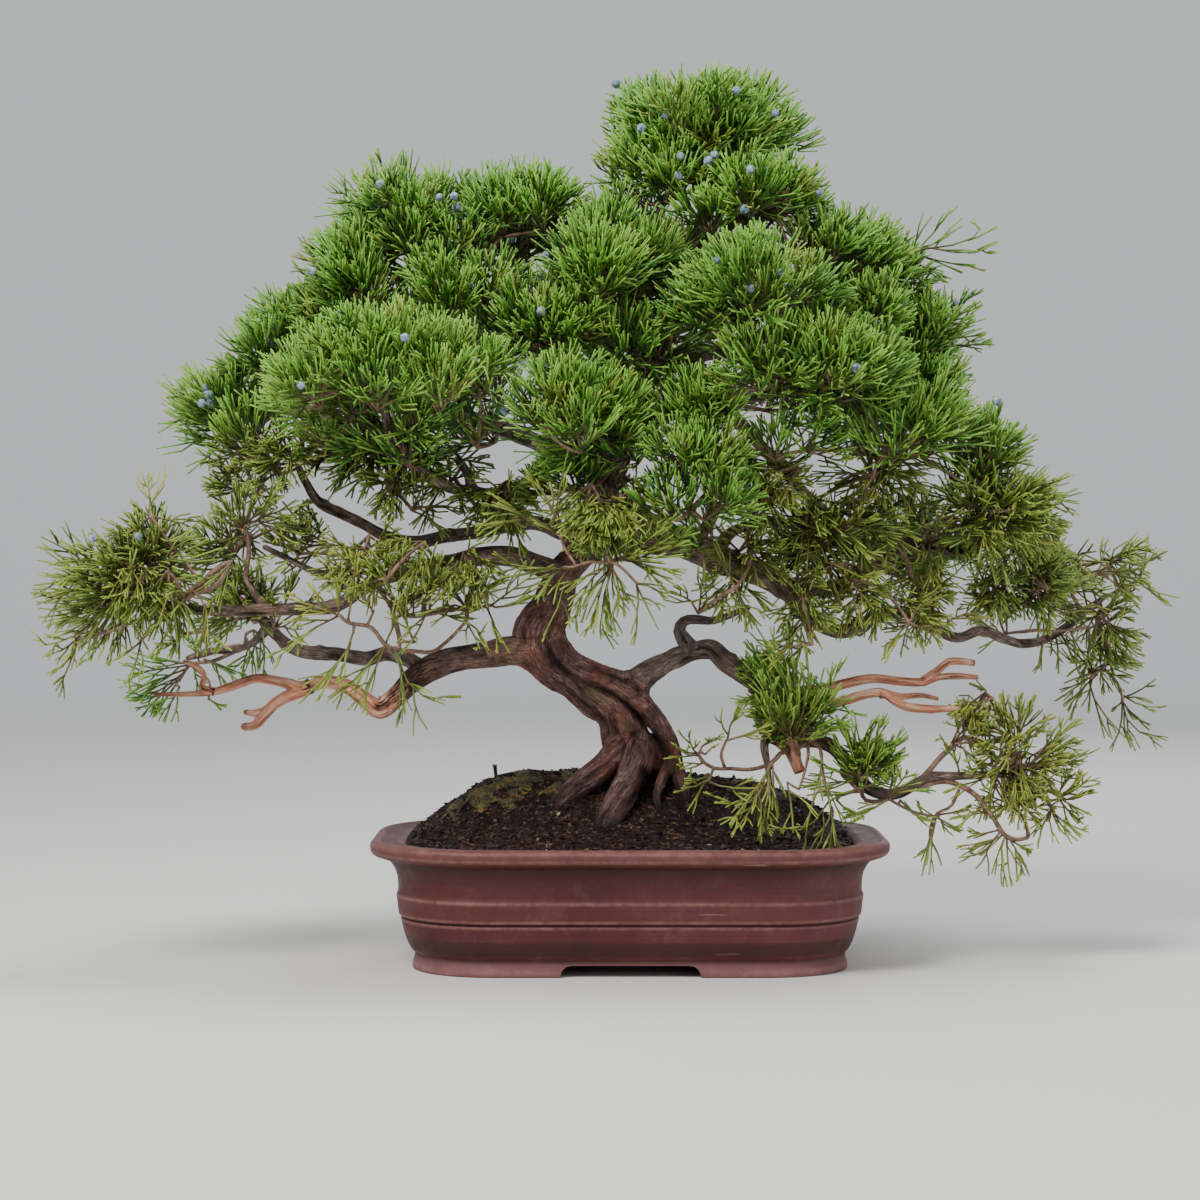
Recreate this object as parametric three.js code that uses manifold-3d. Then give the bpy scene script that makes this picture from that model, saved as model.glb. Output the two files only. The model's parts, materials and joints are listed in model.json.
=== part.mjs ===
// A juniper bonsai in its clay tray: pot, soil, moss, anchor wire, trunk, boughs, dead wood and foliage pads.
// Millimetres, +Z up, -Y is the front of the tree. The origin is on the ground, under the middle of the pot.
import * as THREE from 'three';
import { mergeVertices } from 'three/addons/utils/BufferGeometryUtils.js';
import Module from 'manifold-3d';

const wasm = await Module();
wasm.setup();

// Driving dimensions of the pot
const potHeight = 105;
const cornerX = 110; // from the middle to the centre of a corner's arc
const cornerY = 45;
const floorTop = 17;
const floorUnder = 10;
const drainX = 80;
const drainRadius = 11;
const footGap = 92; // open width between the two feet, at its top
const footGapFlare = 10; // how much further it opens on each side at the ground
const soilEdge = 100; // height of the soil along the pot's inner wall
const pocket = 0.3; // what touching pieces keep between them
const weld = 1e-4; // vertices closer than this are one
const padGap = 0.4; // what two foliage pads keep between them

// The front view that the tree's places are given in. An entry [x, z, y, ...] shows at x, z in the pot's
// middle plane, seen from the view point, and lies at depth y behind that plane.
const viewPoint = new THREE.Vector3(-24.4, -2541, 352);
const groundBelow = 4; // the z of an entry counts from this far above the ground

const clay = { color: 0x7d4b3f, roughness: 0.75 };
const plastic = { color: 0x22231f, roughness: 0.8 };
const steel = { color: 0x8b8c8c, roughness: 0.45, metalness: 1 };
const darkWire = { color: 0x2b2420, roughness: 0.6, metalness: 0.6 };
const earth = { color: 0x3a2a22, roughness: 0.95 };
const mossGreen = { color: 0x8a7a22, roughness: 0.95 };
const bark = { color: 0x6d5a4c, roughness: 0.9 };
const deadwood = { color: 0xb98263, roughness: 0.7 };
const greenTop = { color: 0x5f9440, roughness: 0.75 };
const greenLow = { color: 0x8a9a45, roughness: 0.75 };
const greenBack = { color: 0x3f6a30, roughness: 0.8 };

const group = new THREE.Group();

// Makes a solid for joining and cutting from a closed geometry
function solidOf(geometry) {
  const bare = geometry.clone();
  bare.deleteAttribute('normal');
  bare.deleteAttribute('uv');
  const merged = mergeVertices(bare, weld);
  const mesh = new wasm.Mesh({
    numProp: 3,
    vertProperties: new Float32Array(merged.attributes.position.array),
    triVerts: new Uint32Array(merged.index.array),
  });
  return new wasm.Manifold(mesh);
}

// Names a finished solid and puts it in the scene graph
function place(name, solid, finish) {
  const mesh = solid.getMesh();
  const geometry = new THREE.BufferGeometry();
  const places = new THREE.BufferAttribute(new Float32Array(mesh.vertProperties), 3);
  geometry.setAttribute('position', places);
  geometry.setIndex([...mesh.triVerts]);
  geometry.computeVertexNormals();
  const piece = new THREE.Mesh(geometry, new THREE.MeshStandardMaterial(finish));
  piece.name = name;
  group.add(piece);
}

// Turns a place as it shows in the front view into its place in space
function sight([x, z, y]) {
  const shown = new THREE.Vector3(x, 0, z + groundBelow);
  const reach = (y - viewPoint.y) / -viewPoint.y;
  return shown.sub(viewPoint).multiplyScalar(reach).add(viewPoint);
}

// A tapering round limb: a cylinder whose rings follow a smooth curve through the places
function limbAlong(points, radii, sides, stepsPerSpan, extra = 0) {
  const curve = new THREE.CatmullRomCurve3(points, false, 'centripetal');
  const spans = points.length - 1;
  const steps = spans * stepsPerSpan;
  const frames = curve.computeFrenetFrames(steps, false);
  const centres = [];
  for (let i = 0; i <= steps; i += 1) centres.push(curve.getPoint(i / steps));
  const geometry = new THREE.CylinderGeometry(1, 1, 1, sides, steps);
  const position = geometry.attributes.position;
  for (let i = 0; i < position.count; i += 1) {
    const along = 0.5 - position.getY(i);
    const ring = Math.round(along * steps);
    const span = Math.min(Math.floor(along * spans + 1e-6), spans - 1);
    const radius = THREE.MathUtils.lerp(radii[span], radii[span + 1], along * spans - span) + extra;
    const tangent = curve.getTangent(ring / steps);
    const side = frames.normals[ring].clone();
    side.addScaledVector(tangent, -side.dot(tangent)).normalize();
    const across = tangent.clone().cross(side);
    const placed = centres[ring].clone();
    placed.addScaledVector(side, position.getX(i) * radius);
    placed.addScaledVector(across, position.getZ(i) * radius);
    if (ring === 0) placed.addScaledVector(tangent, -extra);
    if (ring === steps) placed.addScaledVector(tangent, extra);
    position.setXYZ(i, placed.x, placed.y, placed.z);
  }
  return solidOf(geometry);
}

// A limb of wood given by entries [x, z, y, radius] of the front view
function limb(entries, sides, extra = 0) {
  return limbAlong(entries.map(sight), entries.map((entry) => entry[3]), sides, 1, extra);
}

// Leaves out the crumbs that a cut can part from a solid
function whole(solid) {
  return solid.decompose().sort((a, b) => b.volume() - a.volume())[0];
}

function joined(solids) {
  return solids.reduce((all, next) => all.add(next));
}

const turnSegments = 28; // around the four corners together

// The pot: a profile turned about each corner's axis, with the straight walls between the corners
const potProfile = [
  [0, floorUnder], [155, floorUnder], [157, 0], [176, 0], [176.5, 6], [174.5, 12], [178, 20],
  [186.5, 39], [184.6, 42], [189.5, 45], [190.6, 51], [187.3, 61], [187, 68], [188.6, 77], [195, 88],
  [211.5, 93.5], [212, 101], [207, potHeight], [202.2, 103], [188, 103.4], [184.5, 101.5],
  [180, 95], [176, 40], [168, 24], [156, floorTop], [0, floorTop],
];

// Spreads a turned shape out from a circle to the pot's rounded oblong
function oblong(profile, segments) {
  const outline = profile.map(([half, z]) => new THREE.Vector2(Math.max(half - cornerX, 0), z));
  const geometry = new THREE.LatheGeometry(outline, segments);
  geometry.rotateX(Math.PI / 2);
  geometry.rotateZ(Math.PI / segments);
  const position = geometry.attributes.position;
  for (let i = 0; i < position.count; i += 1) {
    const x = position.getX(i);
    const y = position.getY(i);
    const radius = Math.hypot(x, y);
    const reach = radius > 1e-6 ? 1 : 0;
    position.setX(i, x + Math.sign(x) * cornerX * reach);
    position.setY(i, y + Math.sign(y) * cornerY * reach);
  }
  return solidOf(geometry);
}

// The open gap between the two feet, front and back, with rounded inner ends
function footGapCut() {
  const top = floorUnder - 0.4;
  const outline = new THREE.Shape();
  outline.moveTo(-footGap / 2 - footGapFlare, -1);
  outline.lineTo(-footGap / 2 - footGapFlare, 0);
  outline.quadraticCurveTo(-footGap / 2 - footGapFlare, top, -footGap / 2, top);
  outline.lineTo(footGap / 2, top);
  outline.quadraticCurveTo(footGap / 2 + footGapFlare, top, footGap / 2 + footGapFlare, 0);
  outline.lineTo(footGap / 2 + footGapFlare, -1);
  const run = 300; // right through the pot from front to back
  const geometry = new THREE.ExtrudeGeometry(outline, { depth: run, bevelEnabled: false, curveSegments: 5 });
  geometry.rotateX(Math.PI / 2);
  geometry.translate(0, run / 2, 0);
  return solidOf(geometry);
}

function upright(radius, height, x, y, z, sides) {
  const geometry = new THREE.CylinderGeometry(radius, radius, height, sides);
  geometry.rotateX(Math.PI / 2);
  geometry.translate(x, y, z + height / 2);
  return solidOf(geometry);
}

function block(width, depth, height, x, y, z) {
  const geometry = new THREE.BoxGeometry(width, depth, height);
  geometry.translate(x, y, z + height / 2);
  return solidOf(geometry);
}

function pot() {
  let solid = oblong(potProfile, turnSegments).subtract(footGapCut());
  for (const side of [-1, 1]) {
    solid = solid.subtract(upright(drainRadius, 2 * floorTop, side * drainX, 0, 0, 16));
  }
  return solid;
}

// A square of plastic mesh over each drainage hole
const screenSide = 38;
const screenThickness = 1.6;
const meshPitch = 10;
const meshHole = 7;
const screenBottom = floorTop + pocket;

function screen(x) {
  let solid = block(screenSide, screenSide, screenThickness, x, 0, screenBottom);
  for (const i of [-1, 0, 1]) {
    for (const j of [-1, 0, 1]) {
      const across = x + i * meshPitch;
      const hole = block(meshHole, meshHole, 4 * screenThickness, across, j * meshPitch, floorTop - 1);
      solid = solid.subtract(hole);
    }
  }
  return solid;
}

// A wire staple through the mesh and the hole, its legs bent out under the floor
const clipWire = 0.8; // radius
const clipLeg = 8.5;
const clipBend = 1.5;
const clipRow = -2; // the staple runs this far in front of the hole's middle, the anchor wire as far behind
const clipReach = 17;

function clip(x, extra = 0) {
  const under = floorUnder - clipWire - pocket;
  const over = screenBottom + screenThickness + clipWire + pocket;
  const path = [
    [-clipReach, under], [-clipLeg - clipBend, under], [-clipLeg, under + clipBend],
    [-clipLeg, over - clipBend], [-clipLeg + clipBend, over], [clipLeg - clipBend, over],
    [clipLeg, over - clipBend], [clipLeg, under + clipBend], [clipLeg + clipBend, under], [clipReach, under],
  ];
  const places = path.map(([across, z]) => new THREE.Vector3(x + across, clipRow, z));
  return limbAlong(places, places.map(() => clipWire), 6, 1, extra);
}

// The mound: a crest line behind the middle, falling off to the pot's wall
const crestY = 20;
const crestLine = [
  [-190, 100], [-170, 114], [-150, 129], [-125, 145], [-105, 151], [-75, 155], [-30, 157],
  [40, 154], [100, 147], [150, 131], [170, 116], [190, 100],
];
const soilHalfX = 183;
const moundBlockX = 190; // half sides of the block that the mound is shaped from
const moundBlockY = 130;
const soilCorner = soilHalfX - cornerX;

function crestHeight(x) {
  const next = Math.max(crestLine.findIndex((entry) => entry[0] >= x), 1);
  const [x0, z0] = crestLine[next - 1];
  const [x1, z1] = crestLine[next];
  return THREE.MathUtils.mapLinear(x, x0, x1, z0, z1);
}

function moundHeight(x, y) {
  const past = Math.min(Math.max(Math.abs(x) - cornerX, 0), soilCorner);
  const edgeY = cornerY + Math.sqrt(soilCorner ** 2 - past ** 2);
  const run = y < crestY ? edgeY + crestY : edgeY - crestY;
  const share = THREE.MathUtils.clamp(1 - Math.abs(y - crestY) / run, 0, 1);
  const rise = THREE.MathUtils.smoothstep(share, 0, 1) ** (y < crestY ? 2 : 1.3);
  const inside = THREE.MathUtils.clamp(x, -soilHalfX, soilHalfX);
  return soilEdge + (crestHeight(inside) - soilEdge) * rise;
}

function mound(extra = 0) {
  const bottom = floorTop - 10; // the pot's inner shape cuts it off
  const geometry = new THREE.BoxGeometry(2 * moundBlockX, 2 * moundBlockY, 1, 18, 12, 1);
  const position = geometry.attributes.position;
  for (let i = 0; i < position.count; i += 1) {
    const top = position.getZ(i) > 0;
    const height = moundHeight(position.getX(i), position.getY(i)) + extra;
    position.setZ(i, top ? height : bottom);
  }
  return solidOf(geometry);
}

const soilProfile = [
  [0, floorTop + pocket], [155.8, floorTop + pocket], [167.6, 24.2], [175.6, 40.1], [179.6, 95],
  [183, 101], [183, 190], [0, 190],
];

// The anchor wire: up through the left hole, out on the slope, twisted at the crest, and back down
// behind the trunk to the right hole; a level run under the floor closes the loop
const wireRadius = 1.1;
const wireLift = wireRadius + pocket;

function onMound(x, y, lift = wireLift) {
  return new THREE.Vector3(x, y, moundHeight(x, y) + lift);
}

function anchorWire(extra = 0) {
  const under = floorUnder - wireRadius - pocket;
  const row = -clipRow;
  const places = [
    new THREE.Vector3(-112.5, 14, 157), onMound(-109, 13), onMound(-114, 8), onMound(-122, 0),
    onMound(-132, -8), onMound(-142, -16, 0), new THREE.Vector3(-140, -20, 108),
    new THREE.Vector3(-112, -10, 70), new THREE.Vector3(-84, 2, 42),
    new THREE.Vector3(-drainX, row, 26), new THREE.Vector3(-drainX, row, 12),
    new THREE.Vector3(-drainX + 8, row, under), new THREE.Vector3(-40, row, under),
    new THREE.Vector3(0, row, under), new THREE.Vector3(40, row, under),
    new THREE.Vector3(drainX - 8, row, under), new THREE.Vector3(drainX, row, 12),
    new THREE.Vector3(drainX, row, 26), new THREE.Vector3(74, 30, 55),
    new THREE.Vector3(50, 72, 84), new THREE.Vector3(5, 90, 100), new THREE.Vector3(-34, 88, 112),
    new THREE.Vector3(-60, 72, 128), onMound(-66, 50, 0), onMound(-72, 36), onMound(-82, 26),
    onMound(-96, 18), onMound(-106, 15), new THREE.Vector3(-110.5, 15.5, 157),
  ];
  return limbAlong(places, places.map(() => wireRadius), 6, 1, extra);
}

// A low cushion of moss on the mound: the top of an ellipsoid whose middle is sunk in the soil
const mossSink = 4;

function mossPatch(x, y, reachX, reachY, thickness, turn) {
  const geometry = new THREE.SphereGeometry(1, 12, 8);
  geometry.scale(reachX, reachY, thickness + mossSink);
  geometry.rotateZ(turn);
  geometry.translate(x, y, moundHeight(x, y) - mossSink);
  return solidOf(geometry).subtract(mound(pocket));
}

// The trunk and its surface roots: each entry is [x, z, y, radius] in the front view
const trunkLimbs = [
  [[-4, 98, 14, 12], [-3, 122, 13, 13], [-1, 145, 8, 17], [-1, 164, 2, 20], [-3, 180, 0, 20], [-7, 195, -2, 19],
    [-16, 208, -3, 18], [-32, 217, -4, 17.5], [-47, 230, -4, 18.5], [-64, 242, -4, 20.5],
    [-75, 266, -2, 23], [-64, 290, 0, 16.5], [-55, 312, 2, 13.5],
    [-38, 342, 4, 13], [-28, 372, 6, 13], [-14, 405, 8, 13], [0, 445, 10, 12], [20, 495, 12, 11],
    [42, 545, 12, 9], [58, 595, 10, 7], [68, 645, 5, 5], [72, 690, 0, 3]],
  [[-57, 254, -5, 10], [-46, 241, -10, 11], [-24, 231, -14, 10.5], [-5, 222, -16, 10.5], [10, 208, -15, 9.5],
    [22, 194, -13, 8.5], [32, 178, -11, 7.5], [38, 162, -10, 7], [42, 147, -11, 7], [46, 134, -13, 6.5],
    [50, 118, -14, 5]],
  [[-4, 176, -6, 15], [-13, 165, -11, 12.5], [-26, 152, -14, 10], [-38, 143, -16, 8.5], [-49, 133, -18, 7],
    [-57, 124, -19, 5.5], [-66, 112, -22, 4]],
  [[8, 172, -10, 15], [6, 156, -20, 14], [1, 144, -26, 12.5], [-6, 133, -31, 11.5], [-13, 122, -35, 10.5],
    [-20, 110, -38, 8.5], [-26, 98, -42, 6]],
  [[36, 162, -10, 6], [31, 154, -15, 5], [25.5, 142, -21, 3.8], [23, 132, -25, 3.4], [24, 123, -29, 3.2], [27, 115, -32, 3],
    [29, 106, -35, 2.5]],
  [[18, 162, 2, 13], [36, 149, 4, 11], [49, 134, 10, 8], [61, 120, 14, 6], [74, 108, 18, 4]],
  [[-4, 160, 16, 14], [-22, 142, 34, 12], [-42, 128, 48, 9], [-58, 116, 56, 6]],
  [[16, 160, 16, 13], [32, 140, 32, 11], [46, 124, 44, 8.5], [58, 112, 52, 6]],
  [[-34, 141, -15, 7], [-45, 138, -9, 5], [-55, 142, -3, 3.8], [-65, 146, 0, 3.3], [-74, 143, 2, 2.5]],
];

// The dead, stripped boughs
const jinLeft = [
  [[-74, 250, -6, 14], [-96, 252, -10, 12.5], [-118, 249, -14, 11], [-140, 246, -17, 11],
    [-160, 240, -19, 10.5], [-178, 229, -20, 9.5], [-193, 214, -20, 8.5], [-207, 204, -20, 8.5],
    [-221, 213, -20, 6.5], [-236, 223, -19, 6], [-254, 226, -18, 5.5], [-270, 221, -17, 5.5],
    [-288, 226, -16, 4], [-310, 229, -14, 3.8], [-331, 222, -12, 3.5], [-345, 218, -12, 3],
    [-368, 216, -13, 2.4], [-393, 216, -14, 1.6]],
  [[-344, 218, -12, 2.6], [-354, 222, -12, 2.4], [-353, 233, -12, 2.2], [-360, 240, -12, 2],
    [-369, 243, -12, 1.5]],
  [[-264, 223, -17, 4.6], [-280, 216, -18, 4.6], [-293, 209, -20, 4.4], [-303, 199, -21, 4.6],
    [-311, 190, -22, 4], [-319, 189, -22, 3.4]],
  [[-299, 203, -21, 3.2], [-309, 200, -20, 3], [-318, 201, -20, 2.2]],
];
const jinRightUpper = [
  [[118, 214, -42, 6], [138, 217, -38, 5], [160, 220, -36, 4.4], [180, 225, -35, 4], [202, 229, -34, 3.8],
    [222, 227, -34, 3.6], [242, 226, -34, 3.6], [256, 230, -34, 3], [272, 231, -34, 2.6],
    [289, 230, -34, 1.8]],
  [[244, 227, -34, 2.8], [256, 236, -34, 2.8], [265, 243, -34, 3], [278, 243, -34, 3], [286, 242, -34, 2.6]],
];
const jinRightLower = [
  [[116, 200, -44, 6], [136, 203, -42, 5], [156, 206, -42, 4.4], [176, 210, -42, 4], [196, 216, -42, 3.8],
    [211, 217, -42, 4], [221, 210, -42, 3.6], [232, 205, -42, 3.4], [252, 204, -42, 3.2],
    [273, 204, -42, 2.6]],
  [[208, 217, -42, 3], [226, 214, -42, 2.4], [242, 215, -42, 2.2], [256, 212, -42, 1.6]],
];

// The live boughs, lowest first on each side
const boughs = {
  bough_left_low: [
    [[-168, 236, -18, 6.5], [-184, 245, -6, 6.5], [-200, 250, 2, 6.5], [-220, 246, 6, 6], [-242, 249, 10, 6],
      [-262, 250, 16, 6], [-278, 254, 22, 5.5], [-291, 264, 28, 5], [-301, 274, 32, 5], [-308, 283, 36, 4.5],
      [-326, 296, 40, 4], [-340, 312, 44, 3]],
    [[-299, 272, 31, 4], [-312, 259, 36, 3], [-330, 252, 42, 2.8], [-350, 252, 50, 2.6],
      [-366, 246, 56, 2.2]],
  ],
  bough_left_main: [
    [[-52, 314, 0, 10], [-72, 322, -8, 9], [-98, 330, -15, 8.5], [-125, 330, -20, 8], [-150, 323, -22, 8],
      [-172, 320, -25, 6.5], [-198, 314, -30, 6], [-222, 303, -38, 5.5], [-244, 289, -48, 5.5],
      [-275, 287, -60, 5], [-305, 286, -72, 5], [-340, 285, -85, 4.5], [-380, 289, -98, 4],
      [-415, 302, -108, 3]],
    [[-300, 286, -70, 3.5], [-309, 297, -68, 3], [-318, 312, -65, 2.4]],
    [[-228, 299, -41, 3.5], [-244, 314, -50, 3], [-262, 318, -58, 2.8], [-280, 327, -62, 2.6],
      [-302, 338, -68, 2.2]],
    [[-150, 322, -25, 5], [-166, 306, -52, 4], [-184, 294, -80, 3.4], [-198, 290, -98, 2.6]],
  ],
  bough_left_mid: [
    [[-40, 345, 4, 9], [-58, 352, 8, 7], [-78, 358, 10, 6], [-102, 355, 12, 5.5], [-128, 350, 12, 5.5],
      [-152, 347, 10, 5.5], [-178, 342, 8, 5.5], [-200, 346, 4, 5], [-222, 358, 0, 4.5], [-242, 367, -6, 4.5],
      [-258, 376, -16, 4], [-268, 392, -26, 3.4], [-274, 404, -35, 2.6]],
  ],
  bough_left_upper: [
    [[-20, 408, 8, 10], [-48, 405, -10, 7], [-66, 406, -26, 6.5], [-80, 395, -35, 5.5], [-95, 385, -45, 5.5],
      [-112, 381, -51, 5.5], [-130, 384, -61, 5], [-150, 388, -70, 5], [-168, 399, -80, 4.5],
      [-184, 412, -90, 4.5], [-196, 430, -102, 4], [-202, 450, -115, 3.4], [-204, 470, -128, 2.8]],
    [[-130, 384, -61, 4], [-134, 398, -64, 3.4], [-142, 412, -67, 2.6]],
    [[-196, 430, -102, 3.6], [-226, 440, -74, 3.4], [-258, 446, -42, 3.2], [-290, 452, -10, 3],
      [-318, 456, 4, 2.4]],
  ],
  bough_left_crown: [
    [[4, 455, 10, 9], [-30, 478, 16, 8], [-70, 500, 22, 7.5], [-110, 525, 24, 7], [-145, 560, 22, 6],
      [-168, 595, 16, 4.5], [-176, 620, 12, 3]],
    [[-110, 525, 24, 5.5], [-155, 534, 18, 5], [-200, 540, 10, 4.5], [-240, 545, 4, 3.6],
      [-260, 548, 2, 2.6]],
  ],
  bough_centre_crown: [
    [[14, 482, 12, 8], [-8, 520, 0, 7], [-34, 555, -16, 6], [-62, 590, -19, 5], [-88, 615, -16, 4],
      [-96, 634, -10, 2.8]],
    [[-30, 550, -14, 5], [-26, 572, -35, 4.5], [-22, 590, -51, 3]],
  ],
  bough_front: [
    [[-14, 405, 4, 9], [-24, 420, -32, 7], [-36, 436, -67, 6], [-48, 450, -96, 4.5], [-56, 464, -118, 3]],
    [[-24, 420, -32, 5], [-18, 400, -77, 4.5], [-12, 375, -115, 4], [-14, 350, -141, 3.4],
      [-18, 332, -150, 2.4]],
  ],
  bough_right_crown: [
    [[40, 540, 12, 7], [60, 562, -13, 6], [82, 575, -48, 5], [98, 574, -80, 4], [106, 570, -106, 3]],
    [[60, 562, -13, 5], [98, 575, 0, 4.5], [140, 584, 6, 4], [178, 590, 6, 3.4], [202, 592, 4, 2.6]],
    [[60, 562, -13, 4.5], [80, 600, -13, 4.4], [96, 622, -22, 4], [106, 640, -35, 3]],
  ],
  bough_right_upper: [
    [[18, 490, 12, 9], [50, 497, -6, 8], [80, 503, -29, 7], [106, 511, -54, 6], [128, 514, -83, 4.5],
      [144, 514, -109, 3]],
    [[80, 503, -29, 6], [120, 495, -22, 5.5], [160, 482, -29, 5], [195, 470, -45, 4.4], [220, 460, -58, 3]],
    [[120, 495, -22, 4.5], [165, 508, 4, 4], [210, 520, 16, 3.6], [243, 530, 20, 2.6]],
  ],
  bough_right_main: [
    [[-38, 338, 4, 12], [-10, 342, -13, 10], [20, 342, -29, 10], [45, 338, -38, 10], [70, 329, -45, 10.5],
      [95, 321, -48, 11], [118, 311, -48, 10.5], [135, 299, -48, 9], [145, 285, -45, 7.5],
      [158, 274, -38, 6.5], [175, 268, -32, 6], [195, 273, -27, 5.5]],
    [[45, 340, -38, 6], [60, 350, -64, 5], [68, 364, -86, 4.5], [66, 384, -106, 4], [60, 402, -122, 3]],
    [[72, 333, -48, 5.5], [82, 348, -54, 4.5], [98, 356, -58, 4], [122, 358, -54, 3.6], [146, 354, -50, 3],
      [164, 352, -48, 2.4]],
    [[188, 271, -28, 5.4], [210, 282, -16, 5], [230, 284, 0, 4.8], [250, 272, 18, 4.6], [272, 263, 32, 4.4],
      [292, 269, 46, 4.2], [308, 263, 58, 4.2], [326, 258, 70, 4], [346, 262, 84, 3.8], [366, 275, 98, 3.4],
      [382, 288, 110, 3], [394, 297, 120, 2.4]],
  ],
  bough_right_mid: [
    [[-26, 378, 8, 9], [6, 364, 24, 8], [56, 338, 34, 7.5], [106, 314, 36, 7], [150, 302, 34, 7],
      [180, 307, 28, 7], [198, 320, 24, 7], [215, 334, 18, 7], [238, 341, 10, 7], [258, 338, 2, 6],
      [276, 332, -6, 5], [290, 340, -16, 4], [304, 356, -22, 3]],
  ],
  bough_right_low: [
    [[2, 222, -14, 12], [16, 234, -18, 9.5], [36, 245, -24, 8.4], [55, 252, -30, 7.8], [68, 253, -34, 8],
      [80, 243, -40, 8.5], [94, 233, -44, 8], [110, 222, -46, 8], [116, 208, -46, 8.5], [114, 195, -46, 9.5],
      [116, 185, -46, 8], [126, 179, -46, 6.5], [140, 177, -44, 5.5], [156, 177, -42, 5.5],
      [171, 170, -40, 5.5], [181, 157, -38, 5.5], [190, 145, -36, 5.5], [204, 135, -34, 5],
      [220, 133, -32, 5], [236, 140, -30, 5], [250, 147, -28, 4.5], [270, 148, -28, 3.6],
      [292, 149, -28, 3.2], [312, 151, -28, 2.8], [326, 153, -28, 2.2]],
    [[54, 251, -30, 6], [46, 260, -28, 5.4], [41.5, 270, -26, 4.8], [46, 277, -24, 4.2], [56, 278, -24, 3.8],
      [68, 277, -27, 3.4], [82, 281, -32, 3], [98, 288, -36, 2.4]],
    [[112, 214, -46, 5], [120, 212, -54, 4], [128, 212, -62, 2.8]],
    [[181, 157, -38, 4], [192, 161, -46, 3], [199, 164, -52, 2]],
    [[116, 187, -46, 4], [112, 174, -58, 3.2], [114, 160, -74, 2.8], [116, 146, -88, 2.4],
      [117, 134, -98, 2]],
    [[128, 179, -46, 6], [134, 170, -54, 5.5], [138, 160, -60, 5], [141, 152, -63, 4.5]],
  ],
  bough_back_left: [
    [[-18, 398, 8, 9], [-50, 415, 45, 8], [-90, 430, 75, 7], [-130, 445, 100, 6], [-160, 458, 118, 4.5],
      [-176, 468, 130, 3]],
  ],
  bough_back_right: [
    [[0, 445, 10, 9], [35, 450, 50, 8], [75, 458, 80, 7], [115, 465, 105, 6], [150, 470, 122, 4.5],
      [170, 474, 132, 3]],
    [[75, 458, 80, 6], [110, 420, 100, 5], [150, 378, 114, 4.5], [190, 346, 121, 3.6], [215, 334, 124, 2.8]],
    [[14, 447, 24, 6.5], [10, 470, 60, 6], [4, 500, 95, 5.5], [0, 525, 120, 4.5], [0, 540, 136, 3]],
  ],
};

// Foliage pads: [name, x, z, y, half width, half height, half depth, colour]
const pads = [
  ['foliage_top', 60, 702, 0, 92, 50, 104, greenTop],
  ['foliage_crown_right', 108, 640, -35, 85, 40, 94, greenTop],
  ['foliage_dome_left', -178, 610, 10, 84, 62, 110, greenTop],
  ['foliage_dome_centre', -98, 614, -8, 72, 64, 98, greenTop],
  ['foliage_crown_centre', -20, 580, -48, 88, 66, 98, greenTop],
  ['foliage_shoulder_right', 200, 590, 5, 68, 45, 98, greenTop],
  ['foliage_crown_front', 105, 566, -120, 80, 48, 78, greenTop],
  ['foliage_shoulder_left', -252, 545, 0, 66, 48, 91, greenTop],
  ['foliage_left_front', -200, 495, -140, 108, 60, 90, greenTop],
  ['foliage_left_outer', -325, 460, 5, 70, 52, 91, greenTop],
  ['foliage_left_under', -245, 424, -54, 125, 30, 65, greenLow],
  ['foliage_centre_front', -55, 465, -128, 78, 50, 78, greenTop],
  ['foliage_centre_hanging', -15, 322, -157, 62, 48, 49, greenLow],
  ['foliage_right_front', 148, 510, -120, 95, 48, 84, greenTop],
  ['foliage_right_mid', 228, 448, -67, 82, 54, 84, greenTop],
  ['foliage_right_upper', 248, 530, 20, 52, 42, 78, greenTop],
  ['foliage_right_outer', 312, 368, -29, 74, 56, 78, greenLow],
  ['foliage_right_fans', 60, 412, -128, 60, 50, 62, greenTop],
  ['foliage_right_inner', 178, 350, -51, 80, 46, 60, greenLow],
  ['foliage_far_right', 400, 282, 122, 63, 82, 60, greenLow],
  ['foliage_low_right_inner', 133, 212, -66, 50, 48, 36, greenTop],
  ['foliage_low_right_middle', 202, 166, -56, 36, 30, 30, greenTop],
  ['foliage_low_right_outer', 332, 148, -28, 54, 66, 50, greenLow],
  ['foliage_low_right_hanging', 120, 134, -104, 48, 31, 34, greenLow],
  ['foliage_far_left_outer', -428, 306, -105, 77, 70, 70, greenLow],
  ['foliage_far_left_inner', -312, 324, -62, 58, 52, 58, greenLow],
  ['foliage_left_dark', -372, 236, 60, 46, 30, 40, greenBack],
  ['foliage_left_low_front', -205, 288, -125, 78, 50, 52, greenLow],
  ['foliage_back_left', -180, 475, 138, 120, 82, 90, greenBack],
  ['foliage_back_centre', 0, 542, 145, 110, 108, 90, greenBack],
  ['foliage_back_right', 178, 480, 138, 115, 82, 90, greenBack],
  ['foliage_back_right_low', 225, 335, 128, 95, 48, 72, greenBack],
];

const trunkSides = 8;
const boughSides = 6;

function wood(limbs, sides, extra = 0) {
  return joined(limbs.map((entries) => limb(entries, sides, extra)));
}

// The room that a limb takes in a pad: a square tube whose flats stand just off the limb
function squareRoom(limbs) {
  const wide = limbs.map((entries) => entries.map(([x, z, y, r]) => [x, z, y, (r + pocket) * Math.SQRT2]));
  return wood(wide, 4);
}

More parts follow.
